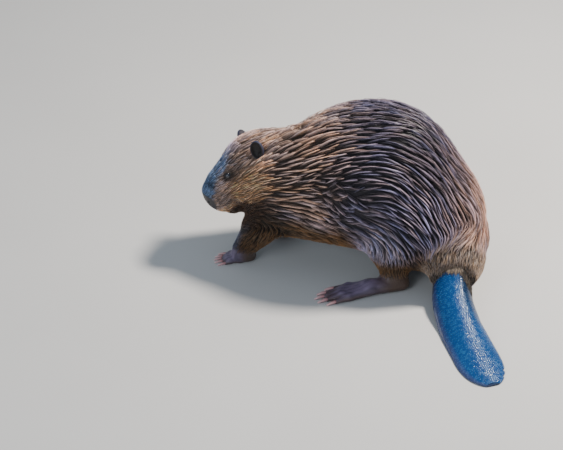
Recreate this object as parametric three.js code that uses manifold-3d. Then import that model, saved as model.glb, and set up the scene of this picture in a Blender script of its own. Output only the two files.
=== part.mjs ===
// A life-size still model of a beaver, walking with its back hunched, its head low and turned a little
// to its left, and its tail laid round to its left on the floor.
//
// Frame: millimetres, +Z up. The head points towards -X and the animal's left side towards -Y. The
// origin is on the floor under the middle of the whole animal. The body is worked out in a draft frame,
// whose origin lies on the floor beside the left heel, and the finished group is moved once at the end.
//
// The flesh is one field: a smooth blend of ellipsoids and tapering rods. It is surfaced region by
// region, each at its own fineness, and parted with thin cuts into the nodes that a person would name.
import * as THREE from "three";
import { mergeVertices } from "three/addons/utils/BufferGeometryUtils.js";
import Module from "manifold-3d";

const wasm = await Module();
wasm.setup();

const rad = THREE.MathUtils.degToRad;
const lerp = THREE.MathUtils.lerp;
const vec = (x, y, z) => new THREE.Vector3(x, y, z);
const SIDES = { left: 1, right: -1 };

// ---------------------------------------------------------------- driving dimensions

const GAP = 0.4; // between neighbouring nodes

// Trunk: the middle and half axes of each mass, out to the tips of the coat.
const LOIN = { at: vec(40, 100, 201), half: vec(163, 134, 160) };
const RUMP = { at: vec(148, 66, 131), half: vec(112, 110, 118) };
const WITHERS = { at: vec(-38, 122, 202), half: vec(104, 98, 111) };
const CHEST = { at: vec(-95, 126, 160), half: vec(112, 98, 104) };
const NECK = { at: vec(-150, 136, 170), half: vec(80, 76, 88) };

// Head: the point between the ears and how the head is turned, dipped and tilted, in degrees.
const HEAD = { at: vec(-199, 155, 199), yaw: 26, pitch: 28, roll: 14 };
const EYE = { from: vec(65, 0, 14), towards: vec(0, 1, 0.48), radius: 6.5, sunk: { left: 3.4, right: 3.4 } };
const EAR = {
  from: vec(-9, 0, 12), towards: vec(0, 1, 0.6), sunk: { left: -5, right: 2 },
  height: 40, width: 29, depth: 16, wall: 3.5, turn: 50, lean: { left: 0, right: 40 }, back: 22,
};

// Legs: joints in the draft frame, the radius of the limb at knee and ankle, and where the foot points.
const LEGS = {
  hind_left: {
    hip: vec(98, 6, 134), knee: vec(64, 20, 90),
    ankle: vec(74, 10, 34), heel: vec(90, -4, 0), heading: 193,
  },
  hind_right: {
    hip: vec(124, 168, 134), knee: vec(96, 160, 92),
    ankle: vec(122, 170, 36), heel: vec(138, 180, 0), heading: 168,
  },
  fore_left: {
    hip: vec(-158, 84, 136), knee: vec(-196, 82, 84),
    ankle: vec(-226, 98, 27), heel: vec(-212, 101, 0), heading: 184,
  },
  fore_right: {
    hip: vec(-128, 166, 136), knee: vec(-118, 180, 74),
    ankle: vec(-142, 194, 26), heel: vec(-136, 196, 0), heading: 172,
  },
};
const HIND = { thigh: vec(58, 52, 84), knee: 38, ankle: 23, cutHip: 68, cutAnkle: 42 };
const FORE = { thigh: vec(54, 40, 64), knee: 28, ankle: 19, cutHip: 54, cutAnkle: 36 };

const HIND_FOOT = { length: 158, width: 56, ankleHigh: 34, claw: 15 };
const FORE_FOOT = { length: 58, width: 42, ankleHigh: 22, claw: 12 };
const TOES = 5;

const TAIL = {
  rootEnd: 0.3, tipFrom: 0.7, rootWidth: 38, halfWidth: 46, edge: 4, lift: 26, ridge: 0.3, domeAtRoot: 2.6,
  domeAtTip: 2, rows: 14, columns: 5,
};

// How far apart two forms are when they start to run into each other.
const SOFT = { trunk: 60, neck: 28, legRoot: 22, leg: 26, tailRoot: 24, head: 16, ankle: 16, toes: 8 };

// The boxes and cells that the flesh is surfaced in: trunk and legs in the draft frame, the head and
// the feet in their own.
const TRUNK_GRID = { low: vec(-334, -146, -44), high: vec(310, 310, 410), cell: vec(31, 30, 30) };
const LEG_GRID = { reach: vec(150, 150, 190), cell: vec(19, 19, 19) };
const HEAD_GRID = { low: vec(-80, -100, -105), high: vec(150, 100, 90), cell: vec(13, 12, 12) };
const FOOT_GRID = { before: 40, beyond: 20, below: 14, top: 70 };
const HIND_FOOT_CELL = vec(18, 6.4, 8);
const FORE_FOOT_CELL = vec(10, 5.5, 7);

// The middle of the tail's top, from inside the rump to the tip.
const tailLine = new THREE.CatmullRomCurve3([
  vec(206, 62, 128), vec(195, 0, 112), vec(188, -42, 88), vec(187, -82, 62), vec(195, -128, 44),
  vec(208, -182, 30), vec(221, -232, 21), vec(234, -282, 15), vec(250, -330, 9),
]);

// ---------------------------------------------------------------- frames

// A frame at a point: X is turned by yaw about Z, then dipped by pitch, then rolled about itself.
function frameAt(at, yaw, pitch = 0, roll = 0) {
  const turn = new THREE.Euler(rad(roll), rad(pitch), rad(yaw), "ZYX");
  return new THREE.Matrix4().makeRotationFromEuler(turn).setPosition(at);
}

const draft = new THREE.Matrix4();

// In the head's frame X runs to the nose, Y to the animal's left and Z to the crown.
const headFrame = frameAt(HEAD.at, 180 + HEAD.yaw, HEAD.pitch, HEAD.roll);

// In a foot's frame X runs from the heel to the toes, Y to the animal's left, and Z = 0 is the floor.
const footFrame = (name) => frameAt(LEGS[name].heel, LEGS[name].heading);
const isHind = (name) => name.startsWith("hind");
const footOf = (name) => (isHind(name) ? HIND_FOOT : FORE_FOOT);

// ---------------------------------------------------------------- fields

// A field gives the distance from a point to a form's surface, or close to it, negative inside.

function ellipsoid(at, half, frame = draft) {
  const back = frame.clone().invert();
  const p = vec(0, 0, 0);
  return (x, y, z) => {
    p.set(x, y, z).applyMatrix4(back).sub(at);
    const near = Math.hypot(p.x / half.x, p.y / half.y, p.z / half.z);
    const steep = Math.hypot(p.x / half.x ** 2, p.y / half.y ** 2, p.z / half.z ** 2);
    return steep > 0 ? (near * (near - 1)) / steep : -Math.min(half.x, half.y, half.z);
  };
}

// A rod from a to b, whose radius goes from ra to rb, flattened by flat along the frame's Z.
function rod(a, ra, b, rb, frame = draft, flat = 1) {
  const back = frame.clone().invert();
  const along = b.clone().sub(a);
  const p = vec(0, 0, 0);
  return (x, y, z) => {
    p.set(x, y, z).applyMatrix4(back).sub(a);
    const t = THREE.MathUtils.clamp(p.dot(along) / along.lengthSq(), 0, 1);
    p.addScaledVector(along, -t);
    p.z /= flat;
    return (p.length() - lerp(ra, rb, t)) * Math.min(1, flat);
  };
}

function blend(softness, ...fields) {
  return (x, y, z) => {
    let d = Infinity;
    for (const field of fields) {
      const e = field(x, y, z);
      const h = Math.max(softness - Math.abs(d - e), 0) / softness;
      d = Math.min(d, e) - (h * h * softness) / 4;
    }
    return d;
  };
}

// ---------------------------------------------------------------- the animal's form

function headField() {
  const both = (make) => Object.values(SIDES).map(make);
  const mass = (x, y, z, ...half) => ellipsoid(vec(x, y, z), vec(...half), headFrame);
  const bar = (a, ra, b, rb) => rod(vec(...a), ra, vec(...b), rb, headFrame);
  const skull = mass(-4, 0, 11, 66, 54, 51);
  const brow = bar([14, 0, 21], 42, [79, 0, 12], 31);
  const cheeks = both((side) => mass(18, side * 33, -16, 52, 31, 44));
  const muzzle = mass(90, 0, -3, 32, 33, 32);
  const nose = mass(112, 0, 9, 12, 19, 15);
  const nosePad = mass(112, 0, -8, 14, 20, 18);
  const lips = both((side) => mass(99, side * 13, -23, 21, 19, 19));
  const jaw = bar([20, 0, -46], 28, [88, 0, -46], 18);
  return blend(SOFT.head, skull, brow, ...cheeks, muzzle, nose, ...lips, jaw, nosePad);
}

function trunkField() {
  const masses = [LOIN, RUMP, WITHERS, CHEST, NECK];
  return blend(SOFT.trunk, ...masses.map((mass) => ellipsoid(mass.at, mass.half)));
}

function legField(name) {
  const leg = LEGS[name];
  const size = isHind(name) ? HIND : FORE;
  return blend(
    SOFT.leg,
    ellipsoid(leg.hip, size.thigh),
    rod(leg.hip, size.knee, leg.knee, size.knee),
    rod(leg.knee, size.knee, leg.ankle, size.ankle),
  );
}

function tailRootField() {
  const under = (t, drop) => tailLine.getPointAt(t).sub(vec(0, 0, drop));
  return blend(
    SOFT.tailRoot,
    rod(under(0, 50), 62, under(0.16, 44), 54),
    rod(under(0.16, 44), 54, under(0.28, 27), 46, draft, 0.7),
  );
}

// The toes of a foot, in the foot's frame. across goes from -1 at the inner toe to 1 at the outer.
function toesOf(name) {
  const { length, width } = footOf(name);
  const side = name.endsWith("left") ? SIDES.left : SIDES.right;
  return Array.from({ length: TOES }, (_, i) => {
    const across = (i / (TOES - 1)) * 2 - 1;
    const reach = length * (1 - 0.14 * (across - 0.1) ** 2);
    return {
      root: vec(length * 0.4, side * across * width * 0.22, length * 0.09),
      knuckle: vec(reach * 0.8, side * across * width * 0.37, width * 0.17),
      tip: vec(reach, side * across * width * 0.42, width * 0.08),
      radius: width * 0.105,
      turn: side * across * 9,
    };
  });
}

function footField(name) {
  const { length, width, ankleHigh } = footOf(name);
  const frame = footFrame(name);
  const toes = toesOf(name).flatMap((toe) => [
    rod(toe.root, toe.radius * 1.3, toe.knuckle, toe.radius, frame),
    rod(toe.knuckle, toe.radius, toe.tip, toe.radius * 0.85, frame),
  ]);
  const low = ankleHigh * 0.4;
  const heel = rod(vec(2, 0, low), width * 0.34, vec(length * 0.42, 0, low), width * 0.36, frame, 0.8);
  const web = ellipsoid(vec(length * 0.66, 0, width * 0.08), vec(length * 0.25, width * 0.4, 5), frame);
  const pads = blend(SOFT.toes, heel, ...toes, ...(isHind(name) ? [web] : []));
  const { knee, ankle } = LEGS[name];
  const size = isHind(name) ? HIND : FORE;
  return blend(SOFT.ankle, pads, rod(knee, size.knee, ankle, size.ankle));
}

// ---------------------------------------------------------------- the surface of a field

// Fills each cell whose inside corners, or outside corners, don't hang together along its edges, so
// that one vertex in a cell is enough and the surface closes.
function untangle(value, n, index) {
  const corners = [0, 1, 2, 3, 4, 5, 6, 7];
  const oneGroup = (some) => {
    const reached = some.slice(0, 1);
    for (const c of reached)
      for (const d of some)
        if ([1, 2, 4].includes(c ^ d) && !reached.includes(d)) reached.push(d);
    return reached.length === some.length;
  };
  for (let changed = true; changed; ) {
    changed = false;
    for (let k = 0; k < n[2] - 1; k++)
      for (let j = 0; j < n[1] - 1; j++)
        for (let i = 0; i < n[0] - 1; i++) {
          const at = corners.map((c) => index(i + (c & 1), j + ((c >> 1) & 1), k + (c >> 2)));
          const inside = corners.filter((c) => value[at[c]] < 0);
          const outside = corners.filter((c) => value[at[c]] >= 0);
          if (oneGroup(inside) && oneGroup(outside)) continue;
          for (const c of outside) value[at[c]] = -0.01;
          changed = true;
        }
  }
}

// Surface nets: one vertex in each cell that the surface crosses, one quad across each crossed edge.
// The grid is a box in the frame, from low to high, and its cells' size along the frame's X, Y and Z.
function surface(field, { low, high, cell }, frame = draft) {
  const n = ["x", "y", "z"].map((k) => Math.ceil((high[k] - low[k]) / cell[k]) + 1);
  const p = vec(0, 0, 0);
  const place = (i, j, k) => p.set(low.x + i * cell.x, low.y + j * cell.y, low.z + k * cell.z);
  const index = (i, j, k) => i + n[0] * (j + n[1] * k);
  const value = new Float64Array(n[0] * n[1] * n[2]);
  for (let k = 0; k < n[2]; k++)
    for (let j = 0; j < n[1]; j++)
      for (let i = 0; i < n[0]; i++) {
        const border = !i || !j || !k || i === n[0] - 1 || j === n[1] - 1 || k === n[2] - 1;
        place(i, j, k).applyMatrix4(frame);
        value[index(i, j, k)] = border ? 1 : field(p.x, p.y, p.z);
      }
  untangle(value, n, index);

  const points = [];
  const cellPoint = new Map();
  function pointIn(...cellAt) {
    const key = index(...cellAt);
    if (cellPoint.has(key)) return cellPoint.get(key);
    const sum = vec(0, 0, 0);
    let crossings = 0;
    for (let axis = 0; axis < 3; axis++)
      for (const [u, v] of [[0, 0], [1, 0], [0, 1], [1, 1]]) {
        const a = [...cellAt];
        a[(axis + 1) % 3] += u;
        a[(axis + 2) % 3] += v;
        const b = [...a];
        b[axis] += 1;
        const da = value[index(...a)];
        const db = value[index(...b)];
        if (da < 0 === db < 0) continue;
        a[axis] += da / (da - db);
        sum.add(place(...a));
        crossings++;
      }
    points.push(...sum.divideScalar(crossings).applyMatrix4(frame).toArray());
    cellPoint.set(key, cellPoint.size);
    return cellPoint.size - 1;
  }

  const faces = [];
  for (let k = 0; k < n[2] - 1; k++)
    for (let j = 0; j < n[1] - 1; j++)
      for (let i = 0; i < n[0] - 1; i++)
        for (let axis = 0; axis < 3; axis++) {
          const b = [i, j, k];
          b[axis] += 1;
          const inside = value[index(i, j, k)] < 0;
          if (inside === value[index(...b)] < 0) continue;
          const quad = [[0, 0], [-1, 0], [-1, -1], [0, -1]].map(([u, v]) => {
            const c = [i, j, k];
            c[(axis + 1) % 3] += u;
            c[(axis + 2) % 3] += v;
            return pointIn(...c);
          });
          if (!inside) quad.reverse();
          faces.push(quad[0], quad[1], quad[2], quad[0], quad[2], quad[3]);
        }
  return solidFrom(points, faces);
}

// ---------------------------------------------------------------- solids

function solidFrom(points, faces) {
  return new wasm.Manifold(new wasm.Mesh({
    numProp: 3, vertProperties: new Float32Array(points), triVerts: new Uint32Array(faces),
  }));
}

function solidOf(geometry, frame = draft) {
  const bare = geometry.clone().applyMatrix4(frame);
  bare.deleteAttribute("normal");
  bare.deleteAttribute("uv");
  const merged = mergeVertices(bare, 1e-3);
  return solidFrom(merged.attributes.position.array, merged.index.array);
}

function geometryOf(solid) {
  const mesh = solid.getMesh();
  const geometry = new THREE.BufferGeometry();
  geometry.setAttribute("position", new THREE.BufferAttribute(mesh.vertProperties, 3));
  geometry.setIndex(new THREE.BufferAttribute(mesh.triVerts, 1));
  geometry.computeVertexNormals();
  return geometry;
}

// A box that reaches far from a plane through a point, on the side that normal points to.
function beyond(point, normal, shift = 0, frame = draft) {
  const far = 2000;
  const turn = new THREE.Quaternion().setFromUnitVectors(vec(0, 0, 1), normal.clone().normalize());
  const place = new THREE.Matrix4().compose(point, turn, vec(1, 1, 1));
  const box = new THREE.BoxGeometry(far, far, far).translate(0, 0, far / 2 + shift);
  return solidOf(box.applyMatrix4(place), frame);
}

// Parts a solid at a plane, with the gap between its two pieces: first the one that normal points to.
function partAt(solid, point, normal, frame = draft) {
  const opposite = normal.clone().negate();
  return [
    solid.intersect(beyond(point, normal, GAP / 2, frame)),
    solid.intersect(beyond(point, opposite, GAP / 2, frame)),
  ];
}

// A solid capsule from a to b with round ends of radius ra and rb.
function capsule(a, ra, b, rb, grow = 0) {
  const length = a.distanceTo(b);
  const rows = 3;
  const arc = (radius, middle, from) => Array.from({ length: rows }, (_, i) => {
    const angle = rad(from + (90 * i) / (rows - 1));
    return new THREE.Vector2((radius + grow) * Math.cos(angle), middle + (radius + grow) * Math.sin(angle));
  });
  const profile = [...arc(ra, 0, -90), ...arc(rb, length, 0)];
  profile[0].x = 0;
  profile[profile.length - 1].x = 0;
  const turn = new THREE.Quaternion().setFromUnitVectors(vec(0, 1, 0), b.clone().sub(a).normalize());
  const place = new THREE.Matrix4().compose(a, turn, vec(1, 1, 1));
  return solidOf(new THREE.LatheGeometry(profile, 12).applyMatrix4(place));
}

function ball(at, half, frame = draft, rows = 6) {
  const unit = new THREE.SphereGeometry(1, rows * 2, rows);
  return solidOf(unit.scale(half.x, half.y, half.z).translate(at.x, at.y, at.z), frame);
}

// ---------------------------------------------------------------- materials and nodes

const coat = new THREE.MeshStandardMaterial({ color: 0x74492f, roughness: 0.75 });
const darkCoat = new THREE.MeshStandardMaterial({ color: 0x4a3226, roughness: 0.8 });
const bareSkin = new THREE.MeshStandardMaterial({ color: 0x3c3547, roughness: 0.5 });
const scales = new THREE.MeshStandardMaterial({ color: 0x1d4468, roughness: 0.3 });
const eyeBall = new THREE.MeshStandardMaterial({ color: 0x080709, roughness: 0.08 });
const horn = new THREE.MeshStandardMaterial({ color: 0xc99a94, roughness: 0.4 });

const beaver = new THREE.Group();

// Adds a node. Crumbs that the cuts leave beside it are dropped.
function add(name, solid, material) {
  const [main] = solid.decompose().sort((a, b) => b.volume() - a.volume());
  const mesh = new THREE.Mesh(geometryOf(main), material);
  mesh.name = name;
  beaver.add(mesh);
}

// ---------------------------------------------------------------- trunk, neck and legs

const head = headField();
const legs = Object.fromEntries(Object.keys(LEGS).map((name) => [name, legField(name)]));
const foreparts = blend(SOFT.neck, trunkField(), head);
const flesh = blend(SOFT.legRoot, foreparts, tailRootField(), ...Object.values(legs));

function legCut(name, grow = 0) {
  const { hip, ankle } = LEGS[name];
  const size = isHind(name) ? HIND : FORE;
  return capsule(hip, size.cutHip, ankle, size.cutAnkle, grow);
}

// The head ends behind the ears and at the throat, where a ball round it would cut the neck.
const headCut = (grow) => ball(vec(60, 0, 4), vec(132, 100, 94).addScalar(grow), headFrame);

const neckBack = { at: vec(-158, 130, 190), normal: vec(-1, -0.1, 0.5) };
const rumpFront = { at: vec(96, 90, 180), normal: vec(1, -0.2, -0.25) };
const tailCut = {
  at: tailLine.getPointAt(TAIL.rootEnd),
  normal: tailLine.getTangentAt(TAIL.rootEnd).setZ(0),
};
const tailTop = { at: tailLine.getPointAt(0.1), normal: vec(0.05, -1, -0.3) };

function addTrunk() {
  let body = surface(flesh, TRUNK_GRID);
  for (const name of Object.keys(LEGS)) body = body.subtract(legCut(name, GAP));
  for (const side of Object.keys(SIDES)) body = body.subtract(earSocket(side));
  body = body.subtract(headCut(GAP));
  const [neck, behindNeck] = partAt(body, neckBack.at, neckBack.normal);
  const [rear, chest] = partAt(behindNeck, rumpFront.at, rumpFront.normal);
  const [tailEnd, rump] = partAt(rear, tailTop.at, tailTop.normal);
  const [, root] = partAt(tailEnd, tailCut.at, tailCut.normal);
  add("neck", neck, coat);
  add("trunk", chest, coat);
  add("rump", rump, coat);
  add("tail_root", root, darkCoat);
}

function addLeg(name) {
  const { hip, knee, ankle, heel } = LEGS[name];
  const middle = hip.clone().lerp(heel, 0.5);
  const low = middle.clone().sub(LEG_GRID.reach);
  const high = middle.clone().add(LEG_GRID.reach);
  const limb = surface(blend(SOFT.ankle, flesh, footField(name)), { low, high, cell: LEG_GRID.cell });
  let own = limb.intersect(legCut(name));
  for (const other of Object.keys(LEGS)) if (other < name) own = own.subtract(legCut(other, GAP));
  const above = partAt(own, vec(0, 0, footOf(name).ankleHigh), vec(0, 0, 1))[0];
  const down = ankle.clone().sub(knee);
  const [lower, upper] = partAt(above, knee, down);
  add(`${name}_upper`, upper, coat);
  add(`${name}_lower`, lower, darkCoat);
}

// ---------------------------------------------------------------- feet and claws

// A claw bends down to its tip. Its root is sunk in the end of the toe.
function clawSolid(toe, { claw }, frame, grow = 0) {
  const rows = 2;
  const sides = 5;
  const points = [vec(-grow, 0, claw * 0.28)];
  for (let i = 0; i <= rows; i++) {
    const t = i / rows;
    const middle = claw * (0.08 + 0.2 * (1 - t * t));
    for (let k = 0; k < sides; k++) {
      const angle = ((k + 0.5) / sides) * 2 * Math.PI;
      const across = Math.cos(angle) * (claw * 0.2 * (1 - 0.7 * t) + grow);
      const up = Math.sin(angle) * (claw * 0.14 * (1 - 0.6 * t) + grow);
      points.push(vec(claw * t - grow * (1 - t), across, middle + up));
    }
  }
  points.push(vec(claw * 1.05, 0, claw * 0.06));
  const ring = (i, k) => 1 + i * sides + (k % sides);
  const faces = [];
  for (let k = 0; k < sides; k++) {
    faces.push(0, ring(0, k + 1), ring(0, k));
    faces.push(points.length - 1, ring(rows, k), ring(rows, k + 1));
    for (let i = 0; i < rows; i++) {
      faces.push(ring(i, k), ring(i, k + 1), ring(i + 1, k + 1));
      faces.push(ring(i, k), ring(i + 1, k + 1), ring(i + 1, k));
    }
  }
  const place = frame.clone().multiply(frameAt(vec(toe.tip.x, toe.tip.y, 0), toe.turn));
  return solidFrom(points.flatMap((point) => point.applyMatrix4(place).toArray()), faces);
}

function addFoot(name) {
  const foot = footOf(name);
  const frame = footFrame(name);
  const { before, beyond: past, below, top } = FOOT_GRID;
  const low = vec(-before, -foot.width, -below);
  const high = vec(foot.length + past, foot.width, top);
  const cell = isHind(name) ? HIND_FOOT_CELL : FORE_FOOT_CELL;
  let solid = surface(footField(name), { low, high, cell }, frame);
  solid = solid.intersect(beyond(vec(0, 0, 0), vec(0, 0, 1)));
  solid = partAt(solid, vec(0, 0, foot.ankleHigh), vec(0, 0, 1))[1];
  toesOf(name).forEach((toe, i) => {
    solid = solid.subtract(clawSolid(toe, foot, frame, GAP));
    add(`${name}_claw_${i + 1}`, clawSolid(toe, foot, frame), horn);
  });
  add(`${name}_foot`, solid, bareSkin);
}

// ---------------------------------------------------------------- head

// Where a line across the head, towards the given side, leaves the flesh, less the depth it is sunk.
function seatOf({ from, towards, sunk }, side) {
  const way = vec(towards.x, SIDES[side] * towards.y, towards.z).normalize();
  const p = from.clone();
  let d = -1;
  while (d < -0.01) {
    const q = p.clone().applyMatrix4(headFrame);
    d = flesh(q.x, q.y, q.z);
    p.addScaledVector(way, -d);
  }
  return p.addScaledVector(way, -sunk[side]);
}

// An ear is a cupped flap, open forwards and outwards.
function earFrame(side) {
  const outward = rad(-SIDES[side] * EAR.lean[side]);
  const lean = new THREE.Matrix4().makeRotationX(outward);
  const seat = new THREE.Matrix4().makeRotationY(rad(-EAR.back)).multiply(lean);
  seat.setPosition(seatOf(EAR, side));
  return headFrame.clone().multiply(seat).multiply(frameAt(vec(0, 0, 0), SIDES[side] * EAR.turn));
}

const earOuter = (grow = 0) => vec(EAR.depth / 2, EAR.width / 2, EAR.height / 2).addScalar(grow);

function earSolid(side) {
  const frame = earFrame(side);
  const hollow = earOuter(-EAR.wall).setX(EAR.depth / 2);
  return ball(vec(0, 0, 0), earOuter(), frame).subtract(ball(vec(EAR.wall + 2, 0, 0), hollow, frame));
}

const earSocket = (side) => ball(vec(0, 0, 0), earOuter(GAP), earFrame(side));

const eyeBallOf = (side, grow = 0) => {
  const radius = EYE.radius + grow;
  return ball(seatOf(EYE, side), vec(radius, radius, radius), headFrame);
};

function addHead() {
  let solid = surface(flesh, HEAD_GRID, headFrame);
  solid = solid.intersect(headCut(0)).subtract(legCut("fore_left", GAP)).subtract(legCut("fore_right", GAP));
  for (const side of Object.keys(SIDES)) {
    add(`eye_${side}`, eyeBallOf(side), eyeBall);
    add(`ear_${side}`, earSolid(side), darkCoat);
    solid = solid.subtract(eyeBallOf(side, GAP)).subtract(earSocket(side));
  }
  add("head", solid, coat);
}

// ---------------------------------------------------------------- tail

// The scaly blade: a ring of points at each step along the tail's line, with a ridge along the top and
// a flat underside, which lies on the floor beyond the first third.
function addTail() {
  const { rows, columns, halfWidth, rootWidth, edge, lift, ridge } = TAIL;
  const around = columns * 4;
  const points = [];
  for (let i = 0; i <= rows; i++) {
    const s = i / rows;
    const t = lerp(TAIL.rootEnd, 1, s);
    const top = tailLine.getPointAt(t);
    const along = tailLine.getTangentAt(t).setZ(0).normalize();
    if (i === 0) top.addScaledVector(along, GAP);
    const left = vec(-along.y, along.x, 0);
    const roundTip = Math.sqrt(1 - Math.max(0, (s - TAIL.tipFrom) / (1.01 - TAIL.tipFrom)) ** 2.4);
    const wide = lerp(rootWidth, halfWidth, Math.min(1, s * 2.2)) * roundTip;
    const floor = lift * Math.max(0, 1 - s / 0.35);
    const rim = floor + edge * lerp(3, 1, Math.min(1, s * 2));
    const crest = ridge * Math.max(0, 1 - s * 1.6);
    const point = (u, z) => points.push(top.clone().addScaledVector(left, u * wide).setZ(z));
    for (let k = -columns; k <= columns; k++) {
      const u = k / columns;
      const fall = Math.abs(u - crest) / (1 + (u < crest ? crest : -crest));
      point(u, lerp(top.z, rim, fall ** lerp(TAIL.domeAtRoot, TAIL.domeAtTip, s)));
    }
    for (let k = columns - 1; k > -columns; k--) {
      const u = k / columns;
      point(u * 0.97, floor * (0.6 + 0.4 * u * u));
    }
  }
  const faces = [];
  for (let k = 1; k < around - 1; k++) {
    const last = rows * around;
    faces.push(0, k, k + 1, last, last + k + 1, last + k);
  }
  for (let i = 0; i < rows; i++)
    for (let k = 0; k < around; k++) {
      const a = i * around + k;
      const b = i * around + ((k + 1) % around);
      faces.push(a, a + around, b, b, a + around, b + around);
    }
  add("tail_blade", solidFrom(points.flatMap((point) => point.toArray()), faces), scales);
}

addTrunk();
for (const name of Object.keys(LEGS)) {
  addLeg(name);
  addFoot(name);
}
addHead();
addTail();

// The origin goes to the floor under the middle of the whole animal.
const box = new THREE.Box3().setFromObject(beaver);
const centre = box.getCenter(vec(0, 0, 0));
beaver.position.set(-centre.x, -centre.y, 0);

export default beaver;
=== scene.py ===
"""A beaver, life size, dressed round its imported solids: one skin, a wet coat in locks, eyes, ears, claws,
whiskers and a scaly tail.

The skin and the coat come from the same field of distances as the solids: a smooth blend of ellipsoids
and tapering rods. The field is worked out in millimetres, in the draft frame of the solids' own source,
whose origin lies on the floor beside the left heel. Every mesh is in metres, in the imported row's frame.
"""
import math

import bmesh
import bpy
import numpy as np
from mathutils import Matrix, Vector
from mathutils.kdtree import KDTree


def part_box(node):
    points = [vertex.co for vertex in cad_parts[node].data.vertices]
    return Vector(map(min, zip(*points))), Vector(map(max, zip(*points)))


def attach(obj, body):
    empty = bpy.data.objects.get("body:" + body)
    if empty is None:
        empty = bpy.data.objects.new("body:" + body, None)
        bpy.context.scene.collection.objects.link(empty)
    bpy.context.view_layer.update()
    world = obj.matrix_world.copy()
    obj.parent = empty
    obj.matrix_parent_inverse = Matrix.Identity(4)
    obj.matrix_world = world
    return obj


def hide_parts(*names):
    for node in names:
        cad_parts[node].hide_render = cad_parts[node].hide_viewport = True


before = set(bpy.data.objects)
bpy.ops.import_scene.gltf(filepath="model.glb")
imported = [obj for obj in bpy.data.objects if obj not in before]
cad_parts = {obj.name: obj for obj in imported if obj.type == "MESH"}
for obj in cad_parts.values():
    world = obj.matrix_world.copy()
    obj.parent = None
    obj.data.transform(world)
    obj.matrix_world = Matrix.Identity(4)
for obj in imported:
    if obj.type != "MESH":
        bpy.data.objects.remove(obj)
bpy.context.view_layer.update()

MM = 0.001

# ---------------------------------------------------------------- sizes, in millimetres, draft frame

DRAFT_TO_ROW = np.array([15.373, 47.813, 0.0])

LOIN = ((40, 100, 201), (163, 134, 160))
RUMP = ((148, 66, 131), (112, 110, 118))
WITHERS = ((-38, 122, 202), (104, 98, 111))
CHEST = ((-95, 126, 160), (112, 98, 104))
NECK = ((-150, 136, 170), (80, 76, 88))

HEAD_AT = (-199, 155, 199)
HEAD_YAW, HEAD_PITCH, HEAD_ROLL = 26, 28, 14

LEGS = {
    "hind_left": dict(hip=(98, 6, 134), knee=(64, 20, 90), ankle=(74, 10, 34), heel=(90, -4, 0), heading=193),
    "hind_right": dict(hip=(124, 168, 134), knee=(96, 160, 92), ankle=(122, 170, 36), heel=(138, 180, 0),
                       heading=168),
    "fore_left": dict(hip=(-158, 84, 136), knee=(-196, 82, 84), ankle=(-226, 98, 27), heel=(-212, 101, 0),
                      heading=184),
    "fore_right": dict(hip=(-128, 166, 136), knee=(-118, 180, 74), ankle=(-142, 194, 26), heel=(-136, 196, 0),
                       heading=172),
}
HIND = dict(thigh=(58, 52, 84), knee=38, ankle=23, length=158, width=56, high=34, claw=15)
FORE = dict(thigh=(54, 40, 64), knee=28, ankle=19, length=58, width=42, high=22, claw=12)
TOES = 5

TAIL_LINE = [(206, 62, 128), (195, 0, 112), (188, -42, 88), (187, -82, 62), (195, -128, 44),
             (208, -182, 30), (221, -232, 21), (234, -282, 15), (250, -330, 9)]
TAIL_ROOT_END = 0.3
SOFT = dict(head=16, trunk=60, leg=26, tail_root=24, neck=28, joins=22, toes=8, foot=16)

# ---------------------------------------------------------------- frames


def turned(yaw=0.0, pitch=0.0, roll=0.0):
    """The rotation that yaws about Z, then pitches, then rolls, in degrees, as a 3 by 3 array."""
    y, p, r = (math.radians(a) for a in (yaw, pitch, roll))
    return np.array(Matrix.Rotation(y, 3, "Z") @ Matrix.Rotation(p, 3, "Y") @ Matrix.Rotation(r, 3, "X"))


class Place:
    """A frame in the draft frame: where its origin is and how it is turned."""

    def __init__(self, at=(0, 0, 0), turn=None):
        self.at = np.array(at, float)
        self.turn = np.eye(3) if turn is None else turn

    def inside(self, points):
        """Draft points as this frame sees them."""
        return (points - self.at) @ self.turn

    def outside(self, points):
        """This frame's points in the draft frame."""
        return np.asarray(points, float) @ self.turn.T + self.at


DRAFT = Place()
HEAD = Place(HEAD_AT, turned(180 + HEAD_YAW, HEAD_PITCH, HEAD_ROLL))
FEET = {name: Place(leg["heel"], turned(leg["heading"])) for name, leg in LEGS.items()}


def norm(vectors, keep=False):
    """How long vectors are, the last axis being their components."""
    return np.linalg.norm(vectors, axis=-1, keepdims=keep)


def unit(vectors, least=0.0):
    """Vectors brought to a length of 1."""
    return vectors / np.maximum(norm(vectors, True), least)


def folded(q):
    """Points in the head's frame, those on its right half brought over to the left."""
    return np.stack([q[:, 0], np.abs(q[:, 1]), q[:, 2]], axis=1)


def build_of(name):
    return HIND if name.startswith("hind") else FORE


def side_of(name):
    return 1 if name.endswith("left") else -1


# ---------------------------------------------------------------- fields


def ellipsoid(at, half, place=DRAFT):
    at, half = np.array(at, float), np.array(half, float)

    def field(points):
        q = place.inside(points) - at
        near = norm(q / half)
        steep = norm(q / half**2)
        return near * (near - 1) / np.maximum(steep, 1e-9)

    return field


def rod(a, ra, b, rb, place=DRAFT, flat=1.0):
    a, b = np.array(a, float), np.array(b, float)
    along = b - a

    def field(points):
        q = place.inside(points) - a
        t = np.clip(q @ along / (along @ along), 0, 1)
        q = q - t[:, None] * along
        q[:, 2] /= flat
        return (norm(q) - (ra + (rb - ra) * t)) * min(1.0, flat)

    return field


def soft_min(a, b, softness):
    h = np.maximum(softness - np.abs(a - b), 0) / softness
    return np.minimum(a, b) - h * h * softness / 4


def blend(softness, *fields):
    def field(points):
        d = fields[0](points)
        for other in fields[1:]:
            d = soft_min(d, other(points), softness)
        return d

    return field


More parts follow.
